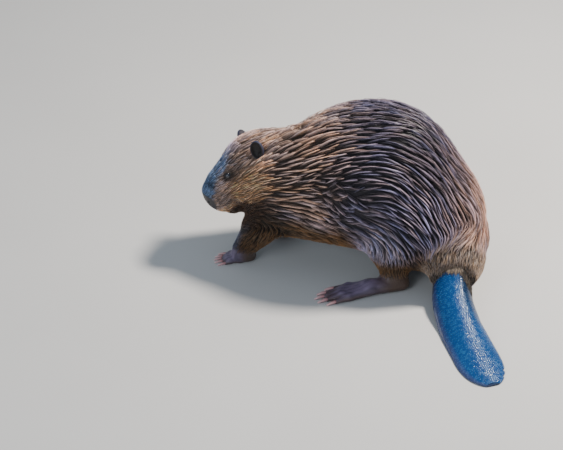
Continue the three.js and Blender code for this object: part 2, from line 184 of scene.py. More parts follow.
def head_field():
    def mass(x, y, z, *half):
        return ellipsoid((x, y, z), half, HEAD)

    parts = [
        mass(-4, 0, 11, 66, 54, 51),
        rod((14, 0, 21), 42, (79, 0, 12), 31, HEAD),
        *(mass(18, side * 33, -16, 52, 31, 44) for side in (1, -1)),
        mass(90, 0, -3, 32, 33, 32),
        mass(112, 0, 9, 12, 19, 15),
        *(mass(99, side * 13, -23, 21, 19, 19) for side in (1, -1)),
        rod((20, 0, -46), 28, (88, 0, -46), 18, HEAD),
        mass(112, 0, -8, 14, 20, 18),
    ]
    return blend(SOFT["head"], *parts)


def trunk_field():
    return blend(SOFT["trunk"], *(ellipsoid(at, half) for at, half in (LOIN, RUMP, WITHERS, CHEST, NECK)))


def leg_field(name):
    leg, build = LEGS[name], build_of(name)
    return blend(
        SOFT["leg"],
        ellipsoid(leg["hip"], build["thigh"]),
        rod(leg["hip"], build["knee"], leg["knee"], build["knee"]),
        rod(leg["knee"], build["knee"], leg["ankle"], build["ankle"]),
    )


class Curve:
    """A Catmull-Rom curve through points, with centripetal spacing, measured by its length."""

    def __init__(self, points, steps=40):
        p = np.array(points, float)
        p = np.vstack([2 * p[0] - p[1], p, 2 * p[-1] - p[-2]])
        rows = []
        for i in range(1, len(p) - 2):
            four = p[i - 1:i + 3]
            k = np.concatenate([[0], np.cumsum(np.sqrt(norm(np.diff(four, axis=0))))])
            t = np.linspace(k[1], k[2], steps, endpoint=False)[:, None]
            a = [(four[j] * (k[j + 1] - t) + four[j + 1] * (t - k[j])) / (k[j + 1] - k[j]) for j in range(3)]
            b = [(a[j] * (k[j + 2] - t) + a[j + 1] * (t - k[j])) / (k[j + 2] - k[j]) for j in range(2)]
            rows.append((b[0] * (k[2] - t) + b[1] * (t - k[1])) / (k[2] - k[1]))
        self.points = np.vstack([*rows, p[-2:-1]])
        length = np.concatenate([[0], np.cumsum(norm(np.diff(self.points, axis=0)))])
        self.share = length / length[-1]
        self.length = length[-1]

    def at(self, t):
        return np.stack([np.interp(t, self.share, self.points[:, k]) for k in range(3)], axis=-1)

    def along(self, t, reach=0.01):
        d = self.at(np.clip(np.asarray(t) + reach, 0, 1)) - self.at(np.clip(np.asarray(t) - reach, 0, 1))
        return unit(d)


TAIL = Curve(TAIL_LINE)


def tail_root_field():
    def under(t, drop):
        return TAIL.at(t) - (0, 0, drop)

    return blend(
        SOFT["tail_root"],
        rod(under(0, 50), 62, under(0.16, 44), 54),
        rod(under(0.16, 44), 54, under(0.28, 27), 46, DRAFT, 0.7),
    )


def toes_of(name):
    """The toes of a foot in its own frame, from the left-hand one's place to the right-hand one's."""
    build, side = build_of(name), side_of(name)
    length, width = build["length"], build["width"]
    toes = []
    for i in range(TOES):
        across = i / (TOES - 1) * 2 - 1
        reach = length * (1 - 0.14 * (across - 0.1) ** 2)
        toes.append(dict(
            root=(length * 0.4, side * across * width * 0.22, length * 0.09),
            knuckle=(reach * 0.8, side * across * width * 0.37, width * 0.17),
            tip=(reach, side * across * width * 0.42, width * 0.08),
            radius=width * 0.105, turn=side * across * 9,
        ))
    return toes


def foot_field(name):
    build, leg, place = build_of(name), LEGS[name], FEET[name]
    length, width = build["length"], build["width"]
    low = build["high"] * 0.4
    toes = []
    for toe in toes_of(name):
        toes.append(rod(toe["root"], toe["radius"] * 1.3, toe["knuckle"], toe["radius"], place))
        toes.append(rod(toe["knuckle"], toe["radius"], toe["tip"], toe["radius"] * 0.85, place))
    heel = rod((2, 0, low), width * 0.34, (length * 0.42, 0, low), width * 0.36, place, 0.8)
    web = [ellipsoid((length * 0.66, 0, width * 0.08), (length * 0.25, width * 0.4, 5), place)]
    pads = blend(SOFT["toes"], heel, *toes, *(web if build is HIND else []))
    return blend(SOFT["foot"], pads, rod(leg["knee"], build["knee"], leg["ankle"], build["ankle"]))


FRONT = blend(SOFT["neck"], trunk_field(), head_field())
BULK = blend(SOFT["joins"], FRONT, tail_root_field(), *(leg_field(name) for name in LEGS))
FEET_FORM = {name: foot_field(name) for name in LEGS}
FOOT_REACH = 66


def foot_box(name):
    """The box outside which a foot's field leaves the flesh as it is."""
    leg = LEGS[name]
    tips = FEET[name].outside([toe["tip"] for toe in toes_of(name)])
    corners = np.vstack([leg["knee"], leg["ankle"], leg["heel"], tips])
    return corners.min(0) - FOOT_REACH, corners.max(0) + FOOT_REACH


FOOT_BOXES = {name: foot_box(name) for name in LEGS}


def tail_cut():
    """The upright plane where the coat ends and the tail's scales begin."""
    along = TAIL.along(TAIL_ROOT_END) * (1, 1, 0)
    return TAIL.at(TAIL_ROOT_END), unit(along)


TAIL_CUT = tail_cut()


def flesh(points):
    """The whole animal out to the tips of its coat, without eyes, ears, claws and the tail's blade."""
    d = BULK(points)
    for name, form in FEET_FORM.items():
        low, high = FOOT_BOXES[name]
        near = ((points > low) & (points < high)).all(1)
        d[near] = soft_min(d[near], form(points[near]), SOFT["foot"])
    beyond = (points - TAIL_CUT[0]) @ TAIL_CUT[1] - 100 * ramp(points[:, 0], 130, 90)
    return np.maximum(d, beyond)


def ramp(value, start, end):
    """A smooth step from 0 at start to 1 at end, which may be the lower one."""
    t = np.clip((value - start) / (end - start), 0, 1)
    return t * t * (3 - 2 * t)


def mix(a, b, share):
    return a + (b - a) * share


def mix_rows(a, b, share):
    """A mix of colours or directions, with a share for each row."""
    return mix(a, b, share[:, None])


# ---------------------------------------------------------------- regions and the depth of the coat

COAT_DEPTH = 9.5
HEAD_STATIONS = [-80, -30, 10, 50, 80, 100, 112]
HEAD_DEPTHS = [9.5, 7.5, 5.6, 4.2, 2.6, 1.5, 0.5]
HEAD_BALL = ((50, 0, 0), (120, 92, 98))
HEAD_REACH = 150
TAIL_SHARES = np.linspace(0, 0.36, 13)


def in_head(points):
    """1 in the head, 0 in the trunk."""
    at, half = HEAD_BALL
    q = HEAD.inside(points)
    far = norm((q - at) / np.array(half))
    return ramp(far, 1.25, 0.95) * ramp(q[:, 2], -96, -76)


def on_tail(points):
    """How far along the tail the nearest of its first points is, and how near that is: 1 on it."""
    line = TAIL.at(TAIL_SHARES) - (0, 0, 20)
    gap = norm(points[:, None, :] - line[None])
    return TAIL_SHARES[gap.argmin(1)], ramp(gap.min(1), 84, 54)


def eye_place(side):
    """The middle of an eyeball, in the head's frame."""
    low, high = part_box("eye_left" if side > 0 else "eye_right")
    middle = (np.array(low) + np.array(high)) / 2 / MM - DRAFT_TO_ROW
    return HEAD.inside(middle[None])[0]


EYES = {side: eye_place(side) for side in (1, -1)}


def from_eyes(q):
    """How far points in the head's frame are from the middle of the nearer eye."""
    return np.min([norm(q - middle) for middle in EYES.values()], axis=0)


def depth(points):
    """How far inside the tips of the coat the skin lies."""
    q = HEAD.inside(points)
    body = mix(0.9, COAT_DEPTH, ramp(points[:, 2], 18, 120))
    share, near = on_tail(points)
    body = body * mix(1, mix(1, 0.25, ramp(share, 0.1, 0.3)), near)
    face = np.interp(q[:, 0], HEAD_STATIONS, HEAD_DEPTHS) * mix(0.4, 1, ramp(from_eyes(q), 9, 30))
    return mix(body, face, in_head(points))


def coat_base(points):
    """The skin without the face's small forms."""
    return flesh(points) + depth(points)


# ---------------------------------------------------------------- the face

LID_RADIUS = 7.8
EYE_OPENING = (6.0, 3.8)
NOSTRIL = (124, 12, -4)
NOSE_PAD = ((124, 0, -6), (13, 27, 21))
EAR_FRONT = (12, 46, 42)


def soft_max(a, b, softness):
    return -soft_min(-a, -b, softness)


def groove(q, line, width, sunk):
    """A dent that runs along a line of points in the head's frame."""
    line = np.array(line, float)
    gap = np.full(len(q), 1e9)
    for a, b in zip(line, line[1:]):
        t = np.clip((q - a) @ (b - a) / ((b - a) @ (b - a)), 0, 1)
        gap = np.minimum(gap, norm(q - a - t[:, None] * (b - a)))
    return sunk * np.exp(-(gap / width) ** 2)


def eye_axes(side):
    """Along the slit of the lids, across it, and out of the eye, in the head's frame."""
    out = unit(np.array([0.22, side, 0.5]))
    slant = np.array([1, 0, -0.18])
    along = unit(slant - out * (out @ slant))
    return along, np.cross(out, along), out


def lids(d, q, side):
    rel = q - EYES[side]
    along, across, out = eye_axes(side)
    u, v, w = rel @ along, rel @ across, rel @ out
    mound = norm(rel) - LID_RADIUS
    d = soft_min(d, mound, 4)
    d = d + 0.6 * np.exp(-((np.hypot(u / 1.2, v + 1.5) - 9.2) / 1.2) ** 2) * (w > 0) * ramp(v, -2, 3)
    half_u, half_v = EYE_OPENING
    slit = (np.hypot(u / half_u, v / half_v * (1 + 0.4 * (u / half_u) ** 2)) - 1) * half_v
    slit = np.maximum(slit, 1 - w)
    return soft_max(d, -slit, 0.9)


def nostril(q):
    """How far points on the left half of the head are from the nostril's middle: 1 on its wall."""
    return norm((q - NOSTRIL) @ turned(30, 0, 0) / (9, 3.4, 4.8))


def face(d, q):
    mirrored = folded(q)
    for side in EYES:
        near = norm(q - EYES[side]) < 26
        d[near] = lids(d[near], q[near], side)
    d = soft_max(d, -(nostril(mirrored) - 1) * 3, 1.5)
    d = d + groove(mirrored, [(125, 5, 8), (120, 15, 8), (112, 22, 1), (112, 22, -8)], 2.0, 1.1)
    d = d + groove(mirrored, [(127, 0, 6), (125, 0, -14), (119, 0, -34)], 1.8, 1.8)
    d = d + groove(mirrored, [(118, 3, -33), (111, 12, -35), (98, 24, -37), (78, 31, -36)], 2.6, 3.6)
    return d


def ahead_of(q, x):
    """Which points in the head's frame are on the head and ahead of x."""
    return (q[:, 0] > x) & (norm(q) < HEAD_REACH)


def skin(points):
    d = coat_base(points)
    q = HEAD.inside(points)
    near = ahead_of(q, 30)
    d[near] = face(d[near], q[near])
    return soft_max(d, 0.3 - points[:, 2], 1)


# ---------------------------------------------------------------- meshes from fields

CORNERS = np.array([(1, -1, -1), (-1, -1, 1), (-1, 1, -1), (1, 1, 1)])


def slope(field, points, reach=0.5):
    """A field's gradient and its value at points."""
    rise, value = np.zeros_like(points), np.zeros(len(points))
    for corner in CORNERS:
        d = field(points + corner * reach)
        rise += d[:, None] * corner / (4 * reach)
        value += d / 4
    return rise, value


def settle(field, points, rounds=2, reach=0.5):
    """Points moved onto a field's surface."""
    for _ in range(rounds):
        rise, value = slope(field, points, reach)
        points = points - rise * np.clip(value / np.maximum((rise**2).sum(1), 0.04), -6, 6)[:, None]
    return points


def normals(field, points):
    rise, _ = slope(field, points)
    return unit(rise)


def lattice(field, low, high, cell, block=4, slack=9):
    """A field on a lattice, worked out point by point only near its surface."""
    blocks = np.ceil((np.array(high) - low) / (cell * block)).astype(int)
    middles = low + (np.indices(blocks).reshape(3, -1).T + 0.5) * cell * block
    value = field(middles).reshape(blocks)
    for axis in range(3):
        value = np.repeat(value, block, axis)
    value = np.pad(value, (0, 1), "edge")
    at = np.argwhere(np.abs(value) < cell * block * 0.87 + slack)
    value[tuple(at.T)] = field(low + at * cell)
    return value


def nets(value, low, cell):
    """Surface nets: a point in each cell that the surface crosses, a quad over each crossed edge."""
    inside = value < 0
    cells = np.array(value.shape) - 1
    keys, places, quads = [], [], []
    for axis in range(3):
        first = [slice(None)] * 3
        first[axis] = slice(None, -1)
        second = [slice(None)] * 3
        second[axis] = slice(1, None)
        at = np.argwhere(inside[tuple(first)] != inside[tuple(second)])
        one, two = (axis + 1) % 3, (axis + 2) % 3
        at = at[(at[:, [one, two]] > 0).all(1) & (at[:, [one, two]] < cells[[one, two]]).all(1)]
        beyond = at.copy()
        beyond[:, axis] += 1
        da, db = value[tuple(at.T)], value[tuple(beyond.T)]
        place = at.astype(float)
        place[:, axis] += da / (da - db)
        around = []
        for u, v in ((0, 0), (-1, 0), (-1, -1), (0, -1)):
            c = at.copy()
            c[:, one] += u
            c[:, two] += v
            around.append(np.ravel_multi_index(c.T, cells))
            keys.append(around[-1])
            places.append(place)
        quad = np.stack(around, 1)
        flip = ~inside[tuple(at.T)]
        quad[flip] = quad[flip][:, ::-1]
        quads.append(quad)
    used, back = np.unique(np.concatenate(keys), return_inverse=True)
    places = np.concatenate(places)
    count = np.bincount(back)
    points = np.stack([np.bincount(back, places[:, k]) / count for k in range(3)], axis=1)
    faces = np.searchsorted(used, np.concatenate(quads))
    return low + points * cell, faces


def triangles(points, quads):
    """Quads cut along their shorter diagonal."""
    a, b, c, d = quads.T
    long = norm(points[a] - points[c]) > norm(points[b] - points[d])
    quads = np.where(long[:, None], np.roll(quads, -1, axis=1), quads)
    a, b, c, d = quads.T
    return np.vstack([np.stack([a, b, c], 1), np.stack([a, c, d], 1)])


def refine(points, faces, wanted):
    """Halves each edge whose middle is wanted, and cuts the triangles to match."""
    after = np.roll(faces, -1, axis=1)
    key = np.minimum(faces, after) * len(points) + np.maximum(faces, after)
    keys, back = np.unique(key, return_inverse=True)
    middle = (points[keys // len(points)] + points[keys % len(points)]) / 2
    mark = wanted(middle)
    index = np.full(len(keys), -1)
    index[mark] = len(points) + np.arange(mark.sum())
    halves = index[back].reshape(-1, 3)
    count = (halves >= 0).sum(1)
    out = [faces[count == 0]]
    for turn in range(3):
        f, h = np.roll(faces, -turn, axis=1), np.roll(halves, -turn, axis=1)
        some = (count == 1) & (h[:, 0] >= 0)
        (a, b, c), ab = f[some].T, h[some, 0]
        out += [np.stack(t, 1) for t in ((a, ab, c), (ab, b, c))]
        some = (count == 2) & (h[:, 2] < 0)
        (a, b, c), ab, bc = f[some].T, h[some, 0], h[some, 1]
        out += [np.stack(t, 1) for t in ((ab, b, bc), (a, ab, bc), (a, bc, c))]
    (a, b, c), (ab, bc, ca) = faces[count == 3].T, halves[count == 3].T
    out += [np.stack(t, 1) for t in ((a, ab, ca), (ab, b, bc), (ca, bc, c), (ab, bc, ca))]
    return np.vstack([points, middle[mark]]), np.vstack(out)


def to_row(points):
    return (points + DRAFT_TO_ROW) * MM


def add_mesh(name, points, faces, material, smooth=True):
    """A piece from draft points and faces with equally many corners."""
    mesh = bpy.data.meshes.new(name)
    mesh.vertices.add(len(points))
    mesh.vertices.foreach_set("co", to_row(points).astype(np.float32).ravel())
    mesh.loops.add(faces.size)
    mesh.loops.foreach_set("vertex_index", faces.astype(np.int32).ravel())
    mesh.polygons.add(len(faces))
    mesh.polygons.foreach_set("loop_start", np.arange(0, faces.size, faces.shape[1], dtype=np.int32))
    mesh.update(calc_edges=True)
    mesh.polygons.foreach_set("use_smooth", np.full(len(faces), smooth))
    mesh.materials.append(material)
    piece = bpy.data.objects.new(name, mesh)
    bpy.context.scene.collection.objects.link(piece)
    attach(piece, "root")
    return piece


def set_colours(piece, name, colours):
    """A colour for each vertex, linear, under an attribute's name."""
    layer = piece.data.color_attributes.new(name, "FLOAT_COLOR", "POINT")
    rgba = np.ones((len(colours), 4), np.float32)
    rgba[:, :3] = colours
    layer.data.foreach_set("color", rgba.ravel())


def set_values(piece, name, values):
    layer = piece.data.attributes.new(name, "FLOAT", "POINT")
    layer.data.foreach_set("value", values.astype(np.float32))


# ---------------------------------------------------------------- colours


def linear(*rgb):
    """An sRGB colour, 0 to 255, as linear values."""
    c = np.array(rgb, float) / 255
    return np.where(c <= 0.04045, c / 12.92, ((c + 0.055) / 1.055) ** 2.4)


BACK = linear(146, 136, 154)
# A warm tan: in front of the ears the coat's own colour, on the rump partly painted sunlight.
RUMP_WARM = linear(210, 174, 154)
NAPE = linear(212, 180, 160)
CHEEK = linear(238, 190, 146)
TEMPLE = linear(192, 166, 150)
CROWN = linear(184, 166, 172)
# A painted reflection of a blue sky, on the top of the snout and on the front of the left foreleg.
SKY_SHEEN = linear(112, 138, 172)
CHIN = linear(84, 62, 46)
UNDER = linear(120, 92, 62)
THIGH = linear(214, 210, 238)
SHANK = linear(152, 120, 84)
TAIL_FUR = linear(176, 156, 136)
FOOT = linear(106, 94, 116)
HEEL = linear(84, 66, 56)
NOSE_DARK = linear(50, 45, 48)
LID_DARK = linear(44, 33, 28)


class Waves:
    """Smooth noise about 0, made of sines in random directions."""

    def __init__(self, size, seed, count=14):
        rng = np.random.default_rng(seed)
        way = unit(rng.normal(size=(count, 3)))
        self.way = way * (2 * np.pi / size) * rng.uniform(0.6, 1.7, (count, 1))
        self.phase = rng.uniform(0, 2 * np.pi, count)

    def __call__(self, points):
        return np.sin(points @ self.way.T + self.phase).sum(1) / math.sqrt(len(self.phase))


PATCHES = Waves(70, 3)
FLECKS = Waves(16, 4)
STREAKS = Waves(6.5, 7)


def head_pelt(q, flecks):
    """The coat's colour on the head, at points in its frame."""
    x, z = q[:, 0], q[:, 2]
    high = z + 0.32 * x + 0.6 * np.maximum(x - 88, 0) + 3 * flecks
    c = mix_rows(CHEEK, TEMPLE, ramp(high, 26, 46))
    # On top of the head: the crown's colour, going over to the sky's blue on the snout, a painted reflection.
    c = mix_rows(c, mix_rows(CROWN, SKY_SHEEN, ramp(x, 30, 66)), ramp(high, 56, 66))
    c = mix_rows(c, TEMPLE, ramp(x, 74, 100) * ramp(high, 56, 46) * ramp(z, -30, -18))
    c = mix_rows(c, CHIN, ramp(z + 0.1 * x + 3 * flecks, -19, -31))
    c = mix_rows(c, NAPE, ramp(x, 52, -30))
    c = c * mix(0.34, 1, ramp(from_eyes(q) + 3 * flecks, 8, 22))[:, None]
    c = mix_rows(c, RUMP_WARM, ramp(norm(folded(q) - EAR_FRONT), 20, 8))
    return c * np.clip(1 + 0.5 * STREAKS(q * (0.12, 1, 1)), 0.25, 2)[:, None]


def pelt(points):
    """The coat's colour at points. The skin and the locks share it."""
    x, z = points[:, 0], points[:, 2]
    patches, flecks = PATCHES(points), FLECKS(points)
    # Warmer towards the rump: partly the coat's own warmer colour, partly painted sunlight on the
    # hindquarters.
    c = mix_rows(BACK, RUMP_WARM, ramp(x, 120, 250) * ramp(z, 40, 140))
    # Painted shade and light: lighter low on the flanks and darker along the top of the back, set against the
    # light from above.
    c = c * mix(1.2, 0.62, ramp(z, 190, 320))[:, None]
    c = mix_rows(c, UNDER, ramp(z + 12 * patches + 0.12 * x, 160, 104))
    hind = [LEGS["hind_left"], LEGS["hind_right"]]
    for leg in hind:
        c = mix_rows(c, THIGH, 0.7 * ramp(norm(points - leg["knee"] - (-10, 0, 16)), 88, 46))
    shank = np.min([norm((points - leg["ankle"])[:, :2]) for leg in hind], axis=0)
    c = mix_rows(c, SHANK, ramp(shank, 62, 40) * ramp(z, 96, 60))
    c = mix_rows(c, NAPE, ramp(x, 0, -110) * ramp(z, 120, 180))
    # Painted reflection: the sky's blue along the front edge of the left foreleg.
    ahead = -222 + 0.3 * (z - 120) - x
    c = mix_rows(c, 0.8 * SKY_SHEEN, 0.7 * ramp(ahead, -16, -3) * ramp(z, 130, 112))
    share, near = on_tail(points)
    c = mix_rows(c, TAIL_FUR, near * ramp(share, 0.06, 0.2))
    c = mix_rows(c, head_pelt(HEAD.inside(points), flecks), in_head(points))
    return np.clip(c * (1 + 0.1 * patches + 0.07 * flecks)[:, None], 0.004, 1)


def bare(points):
    """How bare the skin is, from 0 to 1, on the feet, on the nose's pad and at the rims of the lids."""
    q = HEAD.inside(points)
    feet = np.zeros(len(points))
    for name in LEGS:
        high = build_of(name)["high"]
        feet = np.maximum(feet, ramp(points[:, 2], high + 16, high - 4))
    at, half = NOSE_PAD
    pad = ramp(norm((q - at) / half), 1.06, 0.94) * in_head(points)
    return feet, pad, ramp(from_eyes(q), 9.0, LID_RADIUS)


def foot_colours(points):
    """The bare feet's colour: painted highlights along the tops of the toes and painted shade between them,
    dark at the heel and the sole.
    """
    c = FOOT * (1 + 0.14 * FLECKS(points)[:, None])
    for name, place in FEET.items():
        build = build_of(name)
        long, wide, high = build["length"], build["width"], build["high"]
        x, y, z = place.inside(points).T
        near = (np.abs(y) < wide) & (np.abs(x) < long * 1.3)
        gap = np.full(len(points), 99.0)
        for toe in toes_of(name):
            (x0, y0, _), (x1, y1, _) = toe["root"], toe["tip"]
            gap = np.minimum(gap, np.abs(y - y0 - (y1 - y0) * np.clip((x - x0) / (x1 - x0), 0, 1)))
        # Painted highlights along the tops of the toes and painted shade in the grooves between them.
        bones = ramp(gap, wide * 0.11, wide * 0.03) * ramp(x, 0, long * 0.4)
        c = c * mix(1, mix(0.72, 1.35, bones), near)[:, None]
        back, low = ramp(x, long * 0.5, long * 0.1), ramp(z, high * 0.5, high * 0.2)
        c = mix_rows(c, HEEL, np.maximum(back, 0.7 * low) * near)
    return c


def skin_colours(points):
    feet, pad, rims = bare(points)
    # The skin under the coat is darkened nearly to black, less on the head: partly the wet underfur's own
    # dark colour, partly painted shade in the gaps between the locks.
    c = pelt(points) * mix(0.06, 0.22, in_head(points))[:, None]
    c = mix_rows(mix_rows(c, foot_colours(points), feet), NOSE_DARK, pad)
    # Painted shade: nearly black inside the nostrils.
    c = c * mix(0.1, 1, ramp(nostril(folded(HEAD.inside(points))), 1.0, 1.3))[:, None]
    return mix_rows(c, LID_DARK, rims)


# ---------------------------------------------------------------- materials


class Finish:
    """A material under construction."""

    def __init__(self, name, **constants):
        self.material = bpy.data.materials.new(name)
        self.material.use_nodes = True
        self.nodes, self.links = self.material.node_tree.nodes, self.material.node_tree.links
        self.shader = self.nodes["Principled BSDF"]
        for socket, value in constants.items():
            self.shader.inputs[socket.replace("_", " ")].default_value = value

    def node(self, kind, ins=None, **settings):
        node = self.nodes.new("ShaderNode" + kind)
        for key, value in settings.items():
            setattr(node, key, value)
        for socket, value in (ins or {}).items():
            if isinstance(value, bpy.types.NodeSocket):
                self.links.new(value, node.inputs[socket])
            else:
                node.inputs[socket].default_value = value
        return node

    def into(self, socket, source):
        self.links.new(source, self.shader.inputs[socket])

    def noise(self, scale, detail=3.0, rough=0.5, vector=None):
        ins = {"Scale": scale, "Detail": detail, "Roughness": rough}
        if vector:
            ins["Vector"] = vector
        else:
            ins["Vector"] = self.node("NewGeometry").outputs["Position"]
        return self.node("TexNoise", ins).outputs["Fac"]

    def spread(self, value, low, high):
        """value from 0..1 to low..high."""
        return self.node("MapRange", {"Value": value, "To Min": low, "To Max": high}).outputs["Result"]

    def tinted(self, colour, factor):
        """colour times factor."""
        return self.node("VectorMath", {0: colour, 1: factor}, operation="MULTIPLY").outputs[0]

    def colour_from(self, attribute):
        return self.node("Attribute", attribute_name=attribute).outputs["Color"]

    def value_from(self, attribute):
        return self.node("Attribute", attribute_name=attribute).outputs["Fac"]

    def bump(self, height, distance, strength=1.0, after=None):
        ins = {"Height": height, "Distance": distance, "Strength": strength}
        if after:
            ins["Normal"] = after
        return self.node("Bump", ins).outputs["Normal"]


def skin_finish():
    f = Finish("skin")
    f.into("Roughness", f.spread(f.value_from("bare"), 0.9, 0.42))
    grain = f.noise(900, 4)
    f.into("Base Color", f.tinted(f.colour_from("pelt"), f.spread(grain, 0.75, 1.25)))
    pores = f.bump(grain, 0.0006, 0.6)
    folds = f.bump(f.noise(260, 2), 0.0012, 0.5, pores)
    f.into("Normal", folds)
    return f.material


def coat_finish():
    f = Finish("coat", Roughness=0.38, Specular_IOR_Level=0.6)
    streak = f.noise(420, 3)
    f.into("Base Color", f.tinted(f.colour_from("pelt"), f.spread(streak, 0.8, 1.2)))
    return f.material


def eye_finish():
    f = Finish("eye", Roughness=0.04, Coat_Weight=1.0, Coat_Roughness=0.02)
    # A dark base with a faint blue tint: painted reflection of the sky in the eye.
    f.into("Base Color", f.node("MixRGB", {
        "Fac": f.noise(500, 3), "Color1": (0.004, 0.005, 0.01, 1), "Color2": (0.01, 0.013, 0.03, 1),
    }).outputs[0])
    return f.material


def horn_finish():
    f = Finish("horn", Roughness=0.32)
    along = f.value_from("along")
    root, tip = (*linear(176, 122, 126), 1), (*linear(232, 190, 190), 1)
    tone = f.node("MixRGB", {"Fac": along, "Color1": root, "Color2": tip}).outputs[0]
    f.into("Base Color", f.tinted(tone, f.spread(f.noise(1500, 3), 0.8, 1.15)))
    f.into("Normal", f.bump(f.noise(2500, 2), 0.0002, 0.5))
    return f.material


def scales_finish():
    f = Finish("scales", Specular_IOR_Level=0.5, Specular_Tint=(0.72, 0.86, 1.0, 1.0))
    f.into("Roughness", f.spread(f.value_from("matt"), 0.11, 0.34))
    f.into("Base Color", f.tinted(f.colour_from("pelt"), f.spread(f.noise(700, 3), 0.8, 1.2)))
    f.into("Normal", f.bump(f.noise(420, 2), 0.0005, 0.6))
    return f.material


SKIN, COAT, EYE_FINISH, HORN, SCALES = (
    make() for make in (skin_finish, coat_finish, eye_finish, horn_finish, scales_finish))

# ---------------------------------------------------------------- the skin

CELL = 3.0
SKIN_LOW, SKIN_HIGH = np.array([-322.0, -152.0, -9.0]), np.array([284.0, 262.0, 378.0])


def coarse_form(cell, block=4, slack=9):
    """The skin's smooth base above the floor, as points and quads."""
    value = lattice(coat_base, SKIN_LOW, SKIN_HIGH, cell, block, slack)
    heights = SKIN_LOW[2] + np.arange(value.shape[2]) * cell
    return nets(np.maximum(value, -heights), SKIN_LOW, cell)


def by_feet_and_head(points):
    """Where the skin's cells are halved once."""
    near = ahead_of(HEAD.inside(points), -10)
    for name, place in FEET.items():
        build = build_of(name)
        x, y, z = place.inside(points).T
        foot = (z < build["high"] + 4) & (abs(y) < build["width"])
        near |= foot & (x > -45) & (x < build["length"] + 20)
    return near


def by_eyes_and_nose(points):
    """Where they are halved once more."""
    q = HEAD.inside(points)
    return (from_eyes(q) < 17) | ahead_of(q, 88)


def skin_mesh():
    points, quads = coarse_form(CELL)
    faces = triangles(points, quads)
    points = settle(skin, points)
    for wanted in (by_feet_and_head, by_eyes_and_nose):
        points, faces = refine(points, faces, wanted)
        points = settle(skin, points, 2, 0.25)
    return points, faces


def add_skin():
    points, faces = skin_mesh()
    body = add_mesh("skin", points, faces, SKIN)
    set_colours(body, "pelt", skin_colours(points))
    set_values(body, "bare", np.max(bare(points), axis=0))
    parts = ["neck", "trunk", "rump", "tail_root", "head"]
    parts += [f"{leg}_{part}" for leg in LEGS for part in ("upper", "lower", "foot")]
    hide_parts(*parts)
    return points, faces


# ---------------------------------------------------------------- the lie of the coat

UP = np.array([0, 0, 1.0])
BACKWARD = np.array([0.95, -0.31, 0.0])
HIND_DOWN = np.array([0.12, 0, -0.99])
FALL_PLACES = [-200, -124, -52, 30, 86, 128, 184, 260]
FALL_SLOPES = [0.3, 0.2, -0.15, -0.3, -0.75, -1.1, -2.0, -3.0]
FALL_RISE, FALL_MIDDLE = 0.0055, 190
MESSY = ((-50, 0, 215), (72, 66, 72))
WAVE, RUFFLE = Waves(95, 5), Waves(26, 6)


def bone(points, leg):
    """The way down a leg's bones at the nearest place on them, and how far that is."""
    best, way = np.full(len(points), 1e9), np.zeros_like(points)
    for a, b in (("hip", "knee"), ("knee", "ankle")):
        a, b = np.array(leg[a], float), np.array(leg[b], float)
        t = np.clip((points - a) @ (b - a) / ((b - a) @ (b - a)), 0, 1)
        gap = norm(points - a - t[:, None] * (b - a))
        near = gap < best
        best[near] = gap[near]
        way[near] = (b - a) / norm(b - a)
    return way, best


def on_leg(points):
    """1 round the bones of a leg below the trunk, 0 elsewhere."""
    share = np.zeros(len(points))
    for name, leg in LEGS.items():
        knee = build_of(name)["knee"]
        share = np.maximum(share, ramp(bone(points, leg)[1], 2.0 * knee, 1.2 * knee))
    return share * ramp(points[:, 2], 138, 96)


def swung(way, normal, angle):
    """Directions along the skin, turned about its normals."""
    return way * np.cos(angle)[:, None] + np.cross(normal, way) * np.sin(angle)[:, None]


def flow(points, normal, astray=0.0):
    """Which way the coat lies along the skin at points, turned by an angle astray."""
    fall = np.interp(points[:, 0], FALL_PLACES, FALL_SLOPES) + FALL_RISE * (points[:, 2] - FALL_MIDDLE)
    way = unit(BACKWARD + UP * fall[:, None])
    for name, leg in LEGS.items():
        down, gap = bone(points, leg)
        if name.startswith("hind"):
            down = HIND_DOWN
        knee = build_of(name)["knee"]
        way = mix_rows(way, down, ramp(gap, 2.0 * knee, 1.1 * knee) * ramp(points[:, 2], 140, 90))
    share, near = on_tail(points)
    way = mix_rows(way, TAIL.along(share), near * ramp(share, 0.02, 0.14))
    q = HEAD.inside(points)
    sweep = np.stack([np.full(len(q), -1.0), 0.3 * q[:, 1] / 60, np.full(len(q), -0.1)], axis=1)
    way = mix_rows(way, sweep @ HEAD.turn.T, in_head(points))
    way = unit(way - normal * (way * normal).sum(1)[:, None], 1e-6)
    return swung(way, normal, 0.1 * WAVE(points) + 0.05 * RUFFLE(points) + astray)


def messy(points):
    """1 where the wet coat is rubbed out of order, behind the left shoulder."""
    at, half = MESSY
    return ramp(norm((points - at) / half), 1.25, 0.5)


def onto_base(points, least, most):
    """Points moved onto the skin's smooth base by at most a limit, and the skin's rise there."""
    rise, value = slope(coat_base, points)
    steep = np.maximum(norm(rise, True), least)
    up = rise / steep
    return points - up * np.clip(value[:, None] / steep, -most, most), up


def comb(points, reach, steps, astray):
    """The path of the coat from points: places, at even steps, along the skin's smooth base."""
    path, step = [points], reach[:, None] / steps
    for _ in range(steps):
        here, normal = onto_base(path[-1], 0.2, 3)
        path.append(here + flow(here, normal, astray) * step)
    return np.stack(path, axis=1)


# ---------------------------------------------------------------- locks

LOCK_WIDE, LOCK_APART, LOCK_LONG, LOCK_BEFORE = 7.0, 21.0, 54.0, 0.6
FINE_HEAD = [0.95, 0.75, 0.58, 0.44, 0.32, 0.2, 0.14]
LOCK_TRIES, STRANDS = 72000, 65000
GUIDE_STEPS, OWN_STEPS = 10, 4
STRAND_WIDTH = 1.5
RINGS = (0.0, 0.2, 0.45, 0.72)
ENDS = np.array([*RINGS, 1.0])
TAPER = (0.8, 1.0, 0.9, 0.6)
